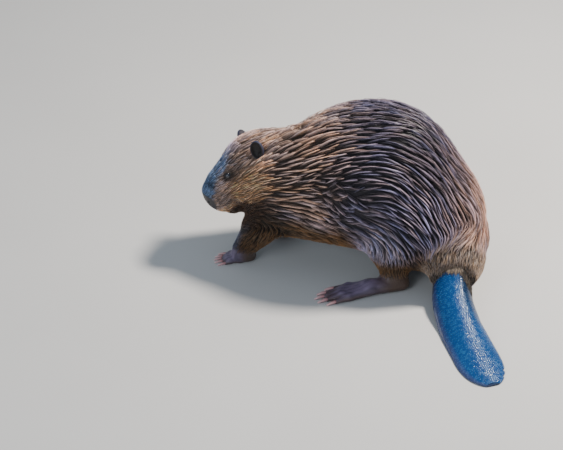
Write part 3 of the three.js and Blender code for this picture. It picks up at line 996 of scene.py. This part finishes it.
# A random tint for each lock, from warm to cool; the cool end is a painted bluish sheen of the sky on the wet
# locks.
WARM, COOL_SHEEN = np.array([1.14, 0.98, 0.82]), np.array([0.88, 0.96, 1.2])
PATCH = 0.003
BANDS = (-100, -25, 40, 105, 165)
BAND_NAMES = ("neck", "withers", "ribs", "loin", "hip", "rump", "head")
MIDDLE_LINE = ([-200, -52, 46, 152, 260], [150, 122, 100, 66, 50])


def fineness(points):
    """How large the locks are: 1 on the back, less on the face, the legs, the belly and the tail's root."""
    q = HEAD.inside(points)
    body = mix(0.3, 1, ramp(points[:, 2], 24, 170)) * mix(1, 0.82, ramp(points[:, 0], 90, 190))
    body = body * mix(1, 0.6, on_leg(points))
    share, near = on_tail(points)
    body = body * mix(1, mix(1, 0.42, ramp(share, 0.02, 0.26)), near)
    face = np.interp(q[:, 0], HEAD_STATIONS, FINE_HEAD) * mix(0.45, 1, ramp(from_eyes(q), 9, 28))
    return mix(body * mix(1, 0.8, messy(points)), face, in_head(points))


def scatter(points, faces, weight, count, rng):
    """Random places on a mesh, with their density in proportion to weight at each point."""
    a, b, c = (points[faces[:, k]] for k in range(3))
    area = norm(np.cross(b - a, c - a)) / 2 * weight[faces].mean(axis=1)
    face = np.searchsorted(np.cumsum(area) / area.sum(), rng.random(count))
    face = np.minimum(face, len(faces) - 1)
    u, v = rng.random((2, count, 1))
    over = u + v > 1
    u, v = np.where(over, 1 - u, u), np.where(over, 1 - v, v)
    return a[face] + u * (b[face] - a[face]) + v * (c[face] - a[face])


def tree_of(points):
    tree = KDTree(len(points))
    for i, p in enumerate(points):
        tree.insert(p, i)
    tree.balance()
    return tree


def oval(along, across):
    """How far a place is from a lock's middle: 1 at the edge of its oval."""
    return np.hypot(along / LOCK_APART, across / LOCK_WIDE)


def spaced(points, way, size):
    """The points that stay when each clears an oval round it, long in the coat's direction."""
    tree = tree_of(points)
    gone = np.zeros(len(points), bool)
    kept = []
    for i in range(len(points)):
        if gone[i]:
            continue
        kept.append(i)
        near = np.array([k for _, k, _ in tree.find_range(points[i], LOCK_APART * size[i])])
        rel = points[near] - points[i]
        along = rel @ way[i]
        across = norm(rel - along[:, None] * way[i])
        gone[near[oval(along, across) < size[i]]] = True
    return np.array(kept)


def furry(points):
    """Where the coat has locks."""
    feet, pad, rims = bare(points)
    share, near = on_tail(points)
    return (1 - feet) * (1 - pad) * (1 - rims) * (1 - near * ramp(share, 0.27, 0.31))


def lay_locks(points, faces, weight, rng):
    """Locks over the skin: each one's middle, the way it runs, its measures and its guiding path."""
    middle = scatter(points, faces, weight, LOCK_TRIES, rng)
    normal = normals(coat_base, middle)
    way = flow(middle, normal)
    size = fineness(middle)
    kept = spaced(middle, way, size)
    middle, way, normal, size = middle[kept], way[kept], normal[kept], size[kept]
    before = LOCK_BEFORE * LOCK_APART * size
    wild = messy(middle)
    long = LOCK_LONG * size * rng.uniform(0.75, 1.2, len(size))
    long = long * (1 - 0.4 * wild) * (1 + 0.5 * ramp(middle[:, 0], 90, 190))
    astray = rng.normal(0, 0.08 + 0.25 * wild)
    way = swung(way, normal, astray)
    guide = comb(middle - way * before[:, None], before + long, GUIDE_STEPS, astray)
    return dict(middle=middle, way=way, side=np.cross(normal, way), size=size, before=before, long=long,
                astray=astray, guide=guide)


def nearest_lock(root, locks):
    """The lock of each root, and how far along it and across it the root lies."""
    tree = tree_of(locks["middle"])
    near = np.array([[k for _, k, _ in tree.find_n(p, 8)] for p in root])
    rel = root[:, None, :] - locks["middle"][near]
    along = (rel * locks["way"][near]).sum(2)
    best = oval(along, norm(rel - along[..., None] * locks["way"][near])).argmin(1)
    pick = np.arange(len(root))
    lock = near[pick, best]
    return lock, along[pick, best], (rel[pick, best] * locks["side"][lock]).sum(1)


def along_paths(paths, steps):
    """Points on paths, at so many steps from their starts."""
    low = np.minimum(steps.astype(int), paths.shape[1] - 2)
    rows = np.arange(len(paths))[:, None]
    start = paths[rows, low]
    return start + (paths[rows, low + 1] - start) * (steps - low)[..., None]


def lay_strands(root, locks, rng):
    """The strands' paths, the skin's rise along them, their sizes and their colours."""
    count = len(root)
    lock, along, across = nearest_lock(root, locks)
    size, before, long, side = (locks[key][lock] for key in ("size", "before", "long", "side"))
    reach = np.maximum(long - along, 0.4 * long) * rng.uniform(0.88, 1.04, count)
    arc = (along + before)[:, None] + reach[:, None] * ENDS
    steps = np.clip(arc / ((before + long) / GUIDE_STEPS)[:, None], 0, GUIDE_STEPS - 0.001)
    led = along_paths(locks["guide"][lock], steps)
    own = comb(root, reach, OWN_STEPS, locks["astray"][lock])
    free = along_paths(own, np.broadcast_to(ENDS * OWN_STEPS, steps.shape))
    under = rng.random(count) < 0.3 + 0.15 * messy(root)
    pull = 0.93 * ramp(ENDS, -0.35, 0.55) * np.where(under, 0.35, 1)[:, None]
    place = mix(free, led, pull[..., None])
    flat, up = onto_base(place.reshape(-1, 3), 0.3, 6)
    deep, up = depth(flat).reshape(steps.shape), up.reshape(place.shape)
    ridge = 0.2 + 0.8 * np.clip(1 - np.abs(across / (LOCK_WIDE * size * 0.55)), 0, 1) ** 0.8
    ridge = np.where(under, rng.uniform(0.22, 0.5, count), ridge)
    lift = ramp(ENDS, 0, 0.42) * (1 - 0.12 * ramp(ENDS, 0.6, 1))
    lift = lift * (ridge * rng.uniform(0.8, 1.06, count))[:, None]
    lift = lift * deep - 0.3 * (1 - ramp(ENDS, 0, 0.1)) * np.minimum(deep, 1)
    sway = rng.normal(size=(count, 1)) * size[:, None] * 0.7 * ENDS
    place = flat.reshape(place.shape) + up * lift[..., None] + side[:, None, :] * sway[..., None]
    # Dark roots and darker strands low at a lock's edges are partly the wet underfur's own dark colour and
    # partly painted shade in the gaps between locks; the bright tips along each lock's ridge are partly paler
    # tips and partly painted highlight.
    shade = mix(0.03, 1.6, ramp(ENDS, 0.05, 0.6)) * (0.08 + 0.92 * ridge)[:, None]
    locks_in_all = len(locks["size"])
    shade = shade * (rng.normal(1, 0.12, count) * rng.normal(1, 0.14, locks_in_all)[lock])[:, None]
    # Partly random tone, partly painted sheen: the cool end of each lock's tint stands in for the sky's
    # bluish sheen.
    hue = mix(WARM, COOL_SHEEN, rng.random(locks_in_all)[lock][:, None])
    # Painted shade: the strands under the locks darker still; on the head the gaps are painted less dark.
    shade = shade * np.where(under, 0.5, 1)[:, None]
    shade = mix_rows(shade, 0.5 + 0.65 * shade, 0.65 * in_head(root))
    tone = (pelt(root) * hue)[:, None, :] * np.clip(shade, 0.05, 2)[..., None]
    return root, place, up, size, tone


def add_coat(points, faces):
    rng = np.random.default_rng(11)
    size, cover = fineness(points), furry(points)
    locks = lay_locks(points, faces, cover / size**2, rng)
    root = scatter(points, faces, cover / size**1.6, STRANDS, rng)
    strands = lay_strands(root, locks, rng)
    clear = ~in_ears(strands[1])
    strand_pieces(*(np.concatenate([part[clear], more]) for part, more in zip(strands, fringe(rng))))


def in_ears(place):
    """Which strands run through an ear."""
    hit = np.zeros(len(place), bool)
    for side in (1, -1):
        ear = ear_place(side)
        for k in range(place.shape[1]):
            q = ear.inside(place[:, k]) + (0, 0, 1)
            hit |= (norm(q / EAR_HALF) < 0.97) & (q[:, 0] > -EAR_HALF[0] * 0.5)
    return hit


FRINGE = 1000


def fringe(rng):
    """Short fur that laps over the start of the tail's scales, furthest on the right."""
    u = rng.uniform(-0.98, 0.98, FRINGE)
    far = -0.04 + 0.035 * ramp(u, -0.6, 0) + 0.1 * ramp(u, 0.3, 0.9)
    s = mix(-0.08, far, rng.random(FRINGE))
    reach = rng.uniform(10, 21, FRINGE) / (TAIL.length * (1 - TAIL_ROOT_END))
    high = np.array([-0.4, 1.3, 1.9, 1.7, 0.7]) * rng.uniform(0.7, 1.3, (FRINGE, 1))
    high = high * ramp(s, far + 0.02, -0.02)[:, None] + 0.3
    drift = rng.normal(0, 0.07, FRINGE)
    path, ups = [], []
    for k, end in enumerate(ENDS):
        here_s, here_u = s + reach * end, np.clip(u + drift * end, -0.99, 0.99)
        p = blade_top(here_s, here_u)
        up = np.cross(blade_top(here_s, here_u + 0.01) - p, blade_top(here_s + 0.004, here_u) - p)
        up = unit(up * np.sign(up[:, 2:]))
        path.append(p + up * high[:, k:k + 1])
        ups.append(up)
    # Dark roots, as in the locks: partly dark underfur, partly painted shade.
    shade = mix(0.05, 0.7, ENDS) * rng.normal(1, 0.42, (FRINGE, 1))
    clump = STREAKS(np.stack([u * 45, s * 60, 0 * u], axis=1))
    shade = shade * np.clip(1 + 0.8 * clump, 0.2, 2)[:, None]
    # Painted shade: the fringe darker towards the right side of the tail's root.
    tone = np.clip(shade, 0.1, 2)[..., None] * TAIL_FUR * (0.85 - 0.45 * ramp(u, 0.2, 0.6))[:, None, None]
    return path[0], np.stack(path, axis=1), np.stack(ups, axis=1), np.full(FRINGE, 0.6), tone


def unwrapped(root):
    """Where each root lies on an unwrap of the skin."""
    points, quads = coarse_form(2.5 * CELL, 2, 14)
    piece = add_mesh("unwrap", points, triangles(points, quads), SKIN)
    bpy.context.view_layer.objects.active = piece
    piece.select_set(True)
    bpy.ops.object.mode_set(mode="EDIT")
    bpy.ops.mesh.select_all(action="SELECT")
    bpy.ops.uv.smart_project(angle_limit=math.radians(66), island_margin=0.004)
    bpy.ops.object.mode_set(mode="OBJECT")
    mesh = piece.data
    uv = np.zeros(len(mesh.loops) * 2)
    mesh.uv_layers.active.data.foreach_get("uv", uv)
    corner = np.zeros(len(mesh.loops), int)
    mesh.loops.foreach_get("vertex_index", corner)
    uv = uv.reshape(-1, 2)
    middles = points[corner].reshape(-1, 3, 3).mean(axis=1)
    places = uv.reshape(-1, 3, 2).mean(axis=1)
    bpy.data.objects.remove(piece)
    bpy.data.meshes.remove(mesh)
    tree = tree_of(middles)
    near = np.array([tree.find(p)[1] for p in root])
    return places[near]


def tube_faces(rings, sides):
    """The triangles between rings of points that follow one another."""
    faces = []
    for i in range(rings - 1):
        for k in range(sides):
            a, b = i * sides + k, i * sides + (k + 1) % sides
            faces += [(a, b, b + sides), (a, b + sides, a + sides)]
    return faces


def strand_faces():
    """The faces of one strand: three sides, a tip and a root."""
    last = 3 * (len(RINGS) - 1)
    tip = [(last + k, last + (k + 1) % 3, last + 3) for k in range(3)]
    return np.array([*tube_faces(len(RINGS), 3), *tip, (0, 2, 1)])


def repeated(faces, count, points):
    """The faces of many like forms, each with its own points."""
    return (faces[None] + points * np.arange(count)[:, None, None]).reshape(-1, faces.shape[1])


def tubes(place, up, radius):
    """The points of three-sided strands along their paths, each drawn out to a tip."""
    along = unit(np.gradient(place, axis=1), 1e-6)
    out = unit(np.cross(up, along), 1e-6)
    thin = np.array(TAPER)[None, :, None] * radius[:, None, None]
    middle, tip = place[:, :-1], place[:, -1]
    out, rise = out[:, :-1] * thin, up[:, :-1] * thin * 0.7
    ring = np.stack([middle + out - rise * 0.5, middle - out - rise * 0.5, middle + rise], axis=2)
    return np.concatenate([ring.reshape(len(place), -1, 3), tip[:, None]], axis=1)


def strand_pieces(root, place, up, size, tone):
    """Builds the strands as pieces, one for each length of the body on each side."""
    points = tubes(place, up, STRAND_WIDTH * np.maximum(size, 0.1) ** 0.75 / 2)
    colour = np.concatenate([np.repeat(tone[:, :-1], 3, axis=1), tone[:, -1:]], axis=1)
    faces, uv = strand_faces(), unwrapped(root)
    share = [*np.repeat(RINGS, 3), 1.0]
    turn = np.array([0, 1, 2] * len(RINGS) + [1]) / 2
    patch = (np.stack([turn, share], axis=1) - 0.5) * PATCH
    head = in_head(root) > 0.5
    band = np.where(head, len(BANDS) + 1, np.digitize(root[:, 0], BANDS))
    left = np.where(head, HEAD.inside(root)[:, 1] > 0, root[:, 1] < np.interp(root[:, 0], *MIDDLE_LINE))
    for number, label in enumerate(BAND_NAMES):
        for side, name in ((True, "left"), (False, "right")):
            own = (left == side) & (band == number)
            total = repeated(faces, own.sum(), points.shape[1])
            piece = add_mesh(f"coat_{label}_{name}", points[own].reshape(-1, 3), total, COAT)
            set_colours(piece, "pelt", colour[own].reshape(-1, 3))
            layer = piece.data.uv_layers.new(name="OFBake")
            corner = uv[own][:, None, None, :] + patch[faces]
            layer.data.foreach_set("uv", corner.astype(np.float32).ravel())


# ---------------------------------------------------------------- eyes, ears and claws

SIDES = ((1, "left"), (-1, "right"))
EYEBALL = 6.5
EAR = dict(start=(-9, 0, 12), towards=(0, 1, 0.6), sunk={1: -5, -1: 2}, height=40, width=29, depth=16,
           wall=3.5, turn=50, lean={1: 0, -1: 40}, back=22)
EAR_HALF = np.array([EAR["depth"], EAR["width"], EAR["height"]]) / 2
EAR_CELL = 0.9
WHISKER_RADIUS, WHISKER = 0.32, linear(150, 134, 122)
EAR_DARK, EAR_INSIDE, EAR_RIM = linear(44, 40, 50), linear(20, 14, 13), linear(38, 50, 84)


def sphere(radius, rows, columns):
    """Points and quads of a ball, its poles along Z."""
    up = np.linspace(0, math.pi, rows + 1)
    round_ = np.arange(columns) / columns * 2 * math.pi
    points = np.array([(math.sin(a) * math.cos(b), math.sin(a) * math.sin(b), math.cos(a))
                       for a in up for b in round_]) * radius
    faces = [(i * columns + k, (i + 1) * columns + k, (i + 1) * columns + (k + 1) % columns,
              i * columns + (k + 1) % columns) for i in range(rows) for k in range(columns)]
    return points, np.array(faces)


def add_eyes():
    for side, name in SIDES:
        points, faces = sphere(EYEBALL, 24, 36)
        ball = add_mesh(f"eyeball_{name}", HEAD.outside(points + EYES[side]), faces, EYE_FINISH)
        weld(ball)
        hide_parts(f"eye_{name}")


def weld(piece):
    """Joins points that lie together, such as a ball's poles."""
    form = bmesh.new()
    form.from_mesh(piece.data)
    bmesh.ops.remove_doubles(form, verts=form.verts, dist=1e-6)
    bmesh.ops.recalc_face_normals(form, faces=form.faces)
    form.to_mesh(piece.data)
    form.free()
    piece.data.polygons.foreach_set("use_smooth", [True] * len(piece.data.polygons))


def ear_place(side):
    """The frame of an ear: X out of its opening, Z to its tip."""
    way = unit(np.array(EAR["towards"], float) * (1, side, 1))
    p = np.array(EAR["start"], float)
    d = -1.0
    while d < -0.01:
        d = flesh(HEAD.outside(p[None]))[0]
        p = p - way * d
    p = p - way * EAR["sunk"][side]
    turn = HEAD.turn @ turned(0, -EAR["back"], -side * EAR["lean"][side]) @ turned(side * EAR["turn"])
    return Place(HEAD.outside(p), turn)


def ear_hollow(points):
    wall = EAR["wall"]
    return ellipsoid((wall + 2, 0, 1.5), EAR_HALF - (0, wall, wall))(points)


def ear_field(points):
    """An ear in its own frame: a flap with a rolled rim, hollow towards X."""
    outer = ellipsoid((0, 0, 0), EAR_HALF)(points)
    hollow = ear_hollow(points)
    fold = ellipsoid((0, 4, -11), (3, 2.5, 6))(points)
    return soft_min(soft_max(outer, -hollow, 2.5), soft_max(outer, fold, 2), 2)


def add_ears():
    for side, name in SIDES:
        half = EAR_HALF + 3
        points, quads = nets(lattice(ear_field, -half, half, EAR_CELL, 2, 3), -half, EAR_CELL)
        points = settle(ear_field, points, 2, 0.2)
        place = ear_place(side)
        ear = add_mesh(f"ear_flap_{name}", place.outside(points), quads, SKIN)
        c = mix_rows(EAR_DARK, EAR_INSIDE, ramp(ear_hollow(points), 1.2, 0.3))
        c = mix_rows(c, EAR_RIM, 0.85 * ramp(norm(points[:, 1:] / half[1:]), 0.74, 0.9))
        set_colours(ear, "pelt", c)
        set_values(ear, "bare", np.full(len(points), 0.6))
        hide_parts(f"ear_{name}")


def claw_mesh(claw, rows=9, sides=10):
    """A claw that bends down to its tip, in a frame on the floor under its root."""
    rings = []
    for t in np.linspace(0, 1, rows):
        middle = claw * (0.08 + 0.2 * (1 - t * t))
        angle = (np.arange(sides) + 0.5) / sides * 2 * math.pi
        across = np.cos(angle) * claw * 0.18 * (1 - 0.55 * t * t)
        up = np.sin(angle) * claw * 0.15 * (1 - 0.55 * t * t)
        rings.append(np.stack([np.full(sides, claw * t), across, middle + up], axis=1))
    ends = [(0, 0, claw * 0.28), (claw * 1.05, 0, claw * 0.06)]
    points = np.vstack([*rings, *ends])
    faces = tube_faces(rows, sides)
    root, tip = len(points) - 2, len(points) - 1
    for k in range(sides):
        faces.append((root, (k + 1) % sides, k))
        faces.append((tip, (rows - 1) * sides + k, (rows - 1) * sides + (k + 1) % sides))
    return points, np.array(faces)


def add_claws():
    for name, place in FEET.items():
        for i, toe in enumerate(toes_of(name)):
            claw = build_of(name)["claw"] * 1.35
            points, faces = claw_mesh(claw)
            along = np.clip(points[:, 0] / claw, 0, 1)
            at = Place((toe["tip"][0], toe["tip"][1], 0), turned(toe["turn"]))
            nail = add_mesh(f"{name}_nail_{i + 1}", place.outside(at.outside(points)), faces, HORN)
            set_values(nail, "along", along)
            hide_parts(f"{name}_claw_{i + 1}")


def add_whiskers():
    """Stiff hairs in rows on each side of the upper lip."""
    rng = np.random.default_rng(29)
    for side, name in SIDES:
        start = np.array([(x, side * 26, z) for x in (104, 96, 88) for z in (-6, -12, -18, -24)], float)
        count = len(start)
        start += rng.normal(0, 1, start.shape)
        out = [rng.normal(-0.25, 0.12, count), np.full(count, side * 0.9), rng.normal(-0.3, 0.14, count)]
        out = unit(np.stack(out, axis=1))
        for _ in range(3):
            start = HEAD.inside(settle(coat_base, HEAD.outside(start)))
        reach = rng.uniform(28, 46, count)[:, None, None] * ENDS[:, None]
        bend = np.array([-0.006, 0, -0.004]) * reach**2
        path = HEAD.outside((start - out)[:, None] + out[:, None] * reach + bend)
        points = tubes(path, np.broadcast_to(HEAD.turn @ UP, path.shape), np.full(count, WHISKER_RADIUS))
        faces = repeated(strand_faces(), count, points.shape[1])
        hairs = add_mesh(f"whiskers_{name}", points.reshape(-1, 3), faces, COAT)
        set_colours(hairs, "pelt", np.tile(WHISKER, (points.size // 3, 1)))


# ---------------------------------------------------------------- the tail

BLADE = dict(tip_from=0.7, root_width=38, half_width=46, edge=4, lift=26, ridge=0.3, dome=(2.6, 2))
NOTCHES, NOTCH_DEEP = np.array([[0.87], [0.93]]), 3.0
SCALE_LONG, SCALE_WIDE, SCALE_HIGH = 2.7, 4.0, 0.5
# SLATE and SLATE_PALE are a painted reflection of a blue sky on the wet scales; SLATE_DARK is the scales'
# dark slate, also used for painted shade.
SLATE, SLATE_PALE, SLATE_DARK = linear(8, 78, 148), linear(52, 124, 188), linear(10, 24, 46)
TAIL_EDGE = linear(74, 74, 106)
TAIL_STEP = 0.62


def blade_row(s):
    """The tail's blade at shares s of its length: its middle, its left, and its measures."""
    t = mix(TAIL_ROOT_END, 1, s)
    top = TAIL.at(t)
    along = unit(TAIL.along(t) * (1, 1, 0))
    left = np.stack([-along[:, 1], along[:, 0], np.zeros(len(s))], axis=1)
    b = BLADE
    round_tip = np.sqrt(1 - np.clip((s - b["tip_from"]) / (1.01 - b["tip_from"]), 0, 1) ** 2.4)
    wide = mix(b["root_width"], b["half_width"], np.minimum(1, s * 2.2)) * round_tip
    floor = b["lift"] * np.maximum(0, 1 - s / 0.35)
    rim = floor + b["edge"] * mix(3, 1, np.minimum(1, s * 2))
    crest = b["ridge"] * np.maximum(0, 1 - s * 1.6)
    return top, left, wide, floor, rim, crest


def blade_top(s, u):
    """Places on the blade's upper side at shares s of its length and u, -1 to 1, across it."""
    top, left, wide, floor, rim, crest = blade_row(s)
    fall = np.abs(u - crest) / (1 + np.where(u < crest, crest, -crest))
    z = mix(top[:, 2], rim, fall ** mix(*BLADE["dome"], np.clip(s, 0, 1)))
    z = mix(z, rim * 0.55 + floor * 0.45, ramp(np.abs(u), 0.93, 1.0))
    notch = NOTCH_DEEP * np.exp(-((s - NOTCHES) / 0.012) ** 2).sum(0) * ramp(u, 0.6, 1)
    places = top + left * (u * wide - notch)[:, None]
    places[:, 2] = z
    return places


def scale_pattern(along, across):
    """The height and the number of the scale at a place on the blade, in mm along and across it."""
    row = np.floor(along / SCALE_LONG)
    u = along / SCALE_LONG - row
    shifted = across / SCALE_WIDE + 0.5 * (row % 2) + 0.08 * np.sin(row * 1.7)
    column = np.floor(shifted)
    v = shifted - column - 0.5
    edge = np.minimum(0.5 - np.abs(v), 0.34 + 0.1 * (1 - 4 * v * v) - np.abs(u - 0.5) + 0.08)
    number = np.sin(row * 12.9898 + column * 78.233) * 43758.5453
    number = number - np.floor(number)
    tilt = (number - 0.5) * 0.7
    slant = 0.5 * (0.5 - abs(2 * number - 1)) * (u - 0.5)
    return ramp(edge, 0.0, 0.26) * (0.75 + 0.3 * u + tilt * v + slant), number


def add_tail():
    length = TAIL.length * (1 - TAIL_ROOT_END)
    rows, columns, below = int(length / TAIL_STEP), 100, 24
    u = np.linspace(-1, 1, columns + 1)
    back = np.linspace(1, -1, below + 1)[1:-1]
    points, colours, matt = [], [], []
    for s in np.linspace(0, 1, rows + 1):
        row = blade_top(np.full(len(u), s), u)
        top, left, wide, floor, _, crest = (value[0] for value in blade_row(np.array([s])))
        high, number = scale_pattern(np.full(len(u), s * length), u * wide)
        row[:, 2] += (high - 0.6) * SCALE_HIGH * ramp(np.abs(u), 1.0, 0.95)
        # The scales' blue, paler on some at random, is a painted reflection of the sky over their dark slate.
        tone = mix(SLATE, SLATE_PALE, 0.7 * number[:, None] ** 3)
        # Painted shade: darker in the grooves between the scales, where they sit lower.
        tone = mix(SLATE_DARK, tone, (0.12 + 0.88 * high)[:, None])
        tone = mix(tone, TAIL_EDGE, 0.6 * ramp(u, -0.72, -0.95)[:, None])
        # Painted shade: the blade's right half near its root darkened.
        right = ramp(u, crest, crest + 0.3) * ramp(s, 0.5, 0.1) * 0.85
        colours.append(mix(tone, SLATE_DARK, right[:, None]))
        matt += [ramp(number, 0.45, 0.6), np.ones(len(back))]
        under = top + left * (back * wide * 0.97)[:, None]
        under[:, 2] = floor * (0.6 + 0.4 * back**2) + 0.15
        points += [row, under]
        colours.append(np.broadcast_to(SLATE_DARK, under.shape))
    around = columns + below
    points, colours = np.vstack(points), np.vstack(colours)
    k = np.arange(around)
    faces = []
    for i in range(rows):
        a, b = i * around + k, i * around + (k + 1) % around
        faces += [np.stack([a, a + around, b], 1), np.stack([b, a + around, b + around], 1)]
    cap = np.arange(1, around - 1)
    last = rows * around
    faces.append(np.stack([np.zeros_like(cap), cap, cap + 1], 1))
    faces.append(np.stack([np.full_like(cap, last), last + cap + 1, last + cap], 1))
    blade = add_mesh("tail_scales", points, np.vstack(faces), SCALES)
    set_colours(blade, "pelt", colours)
    set_values(blade, "matt", np.concatenate(matt))
    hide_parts("tail_blade")


# ---------------------------------------------------------------- the studio

VIEW_AIM = np.array([-149, 74, 100]) + DRAFT_TO_ROW
VIEW_RISE, VIEW_FAR, VIEW_LENS = math.radians(33), 5.0, 159.9


def add_camera():
    camera = bpy.data.cameras.new("camera")
    camera.lens, camera.sensor_width = VIEW_LENS, 36
    camera.clip_start, camera.clip_end = 0.1, 50
    eye = bpy.data.objects.new("camera", camera)
    aim = Vector(VIEW_AIM * MM)
    eye.location = aim + VIEW_FAR * Vector((0, -math.cos(VIEW_RISE), math.sin(VIEW_RISE)))
    eye.rotation_euler = (aim - eye.location).to_track_quat("-Z", "Y").to_euler()
    bpy.context.scene.collection.objects.link(eye)
    bpy.context.scene.camera = eye


def add_light(name, place, size, power, colour):
    lamp = bpy.data.lights.new(name, "AREA")
    lamp.shape, lamp.size, lamp.energy, lamp.color = "DISK", size, power, colour
    holder = bpy.data.objects.new(name, lamp)
    holder.location = place
    holder.rotation_euler = (Vector((0, 0, 0.15)) - holder.location).to_track_quat("-Z", "Y").to_euler()
    bpy.context.scene.collection.objects.link(holder)


def add_studio():
    floor_finish = Finish("floor", Roughness=0.8)
    floor_finish.into("Base Color", floor_finish.node("MixRGB", {
        "Fac": floor_finish.noise(3, 2), "Color1": (0.62, 0.62, 0.61, 1), "Color2": (0.68, 0.68, 0.67, 1),
    }).outputs[0])
    mesh = bpy.data.meshes.new("floor")
    mesh.from_pydata([(-12, -12, 0), (12, -12, 0), (12, 12, 0), (-12, 12, 0)], [], [(0, 1, 2, 3)])
    mesh.materials.append(floor_finish.material)
    floor = bpy.data.objects.new("floor", mesh)
    bpy.context.scene.collection.objects.link(floor)
    world = bpy.data.worlds.new("studio")
    world.use_nodes = True
    world.node_tree.nodes["Background"].inputs["Color"].default_value = (0.74, 0.86, 1.0, 1)
    world.node_tree.nodes["Background"].inputs["Strength"].default_value = 0.36
    bpy.context.scene.world = world
    add_light("key", (1.3, 0.5, 2.3), 0.45, 125, (1.0, 0.92, 0.84))
    add_light("front", (-1.6, -2.2, 1.6), 1.6, 28, (0.85, 0.92, 1.0))


skin_points, skin_faces = add_skin()
add_coat(skin_points, skin_faces)
add_eyes()
add_ears()
add_claws()
add_whiskers()
add_tail()
add_camera()
add_studio()
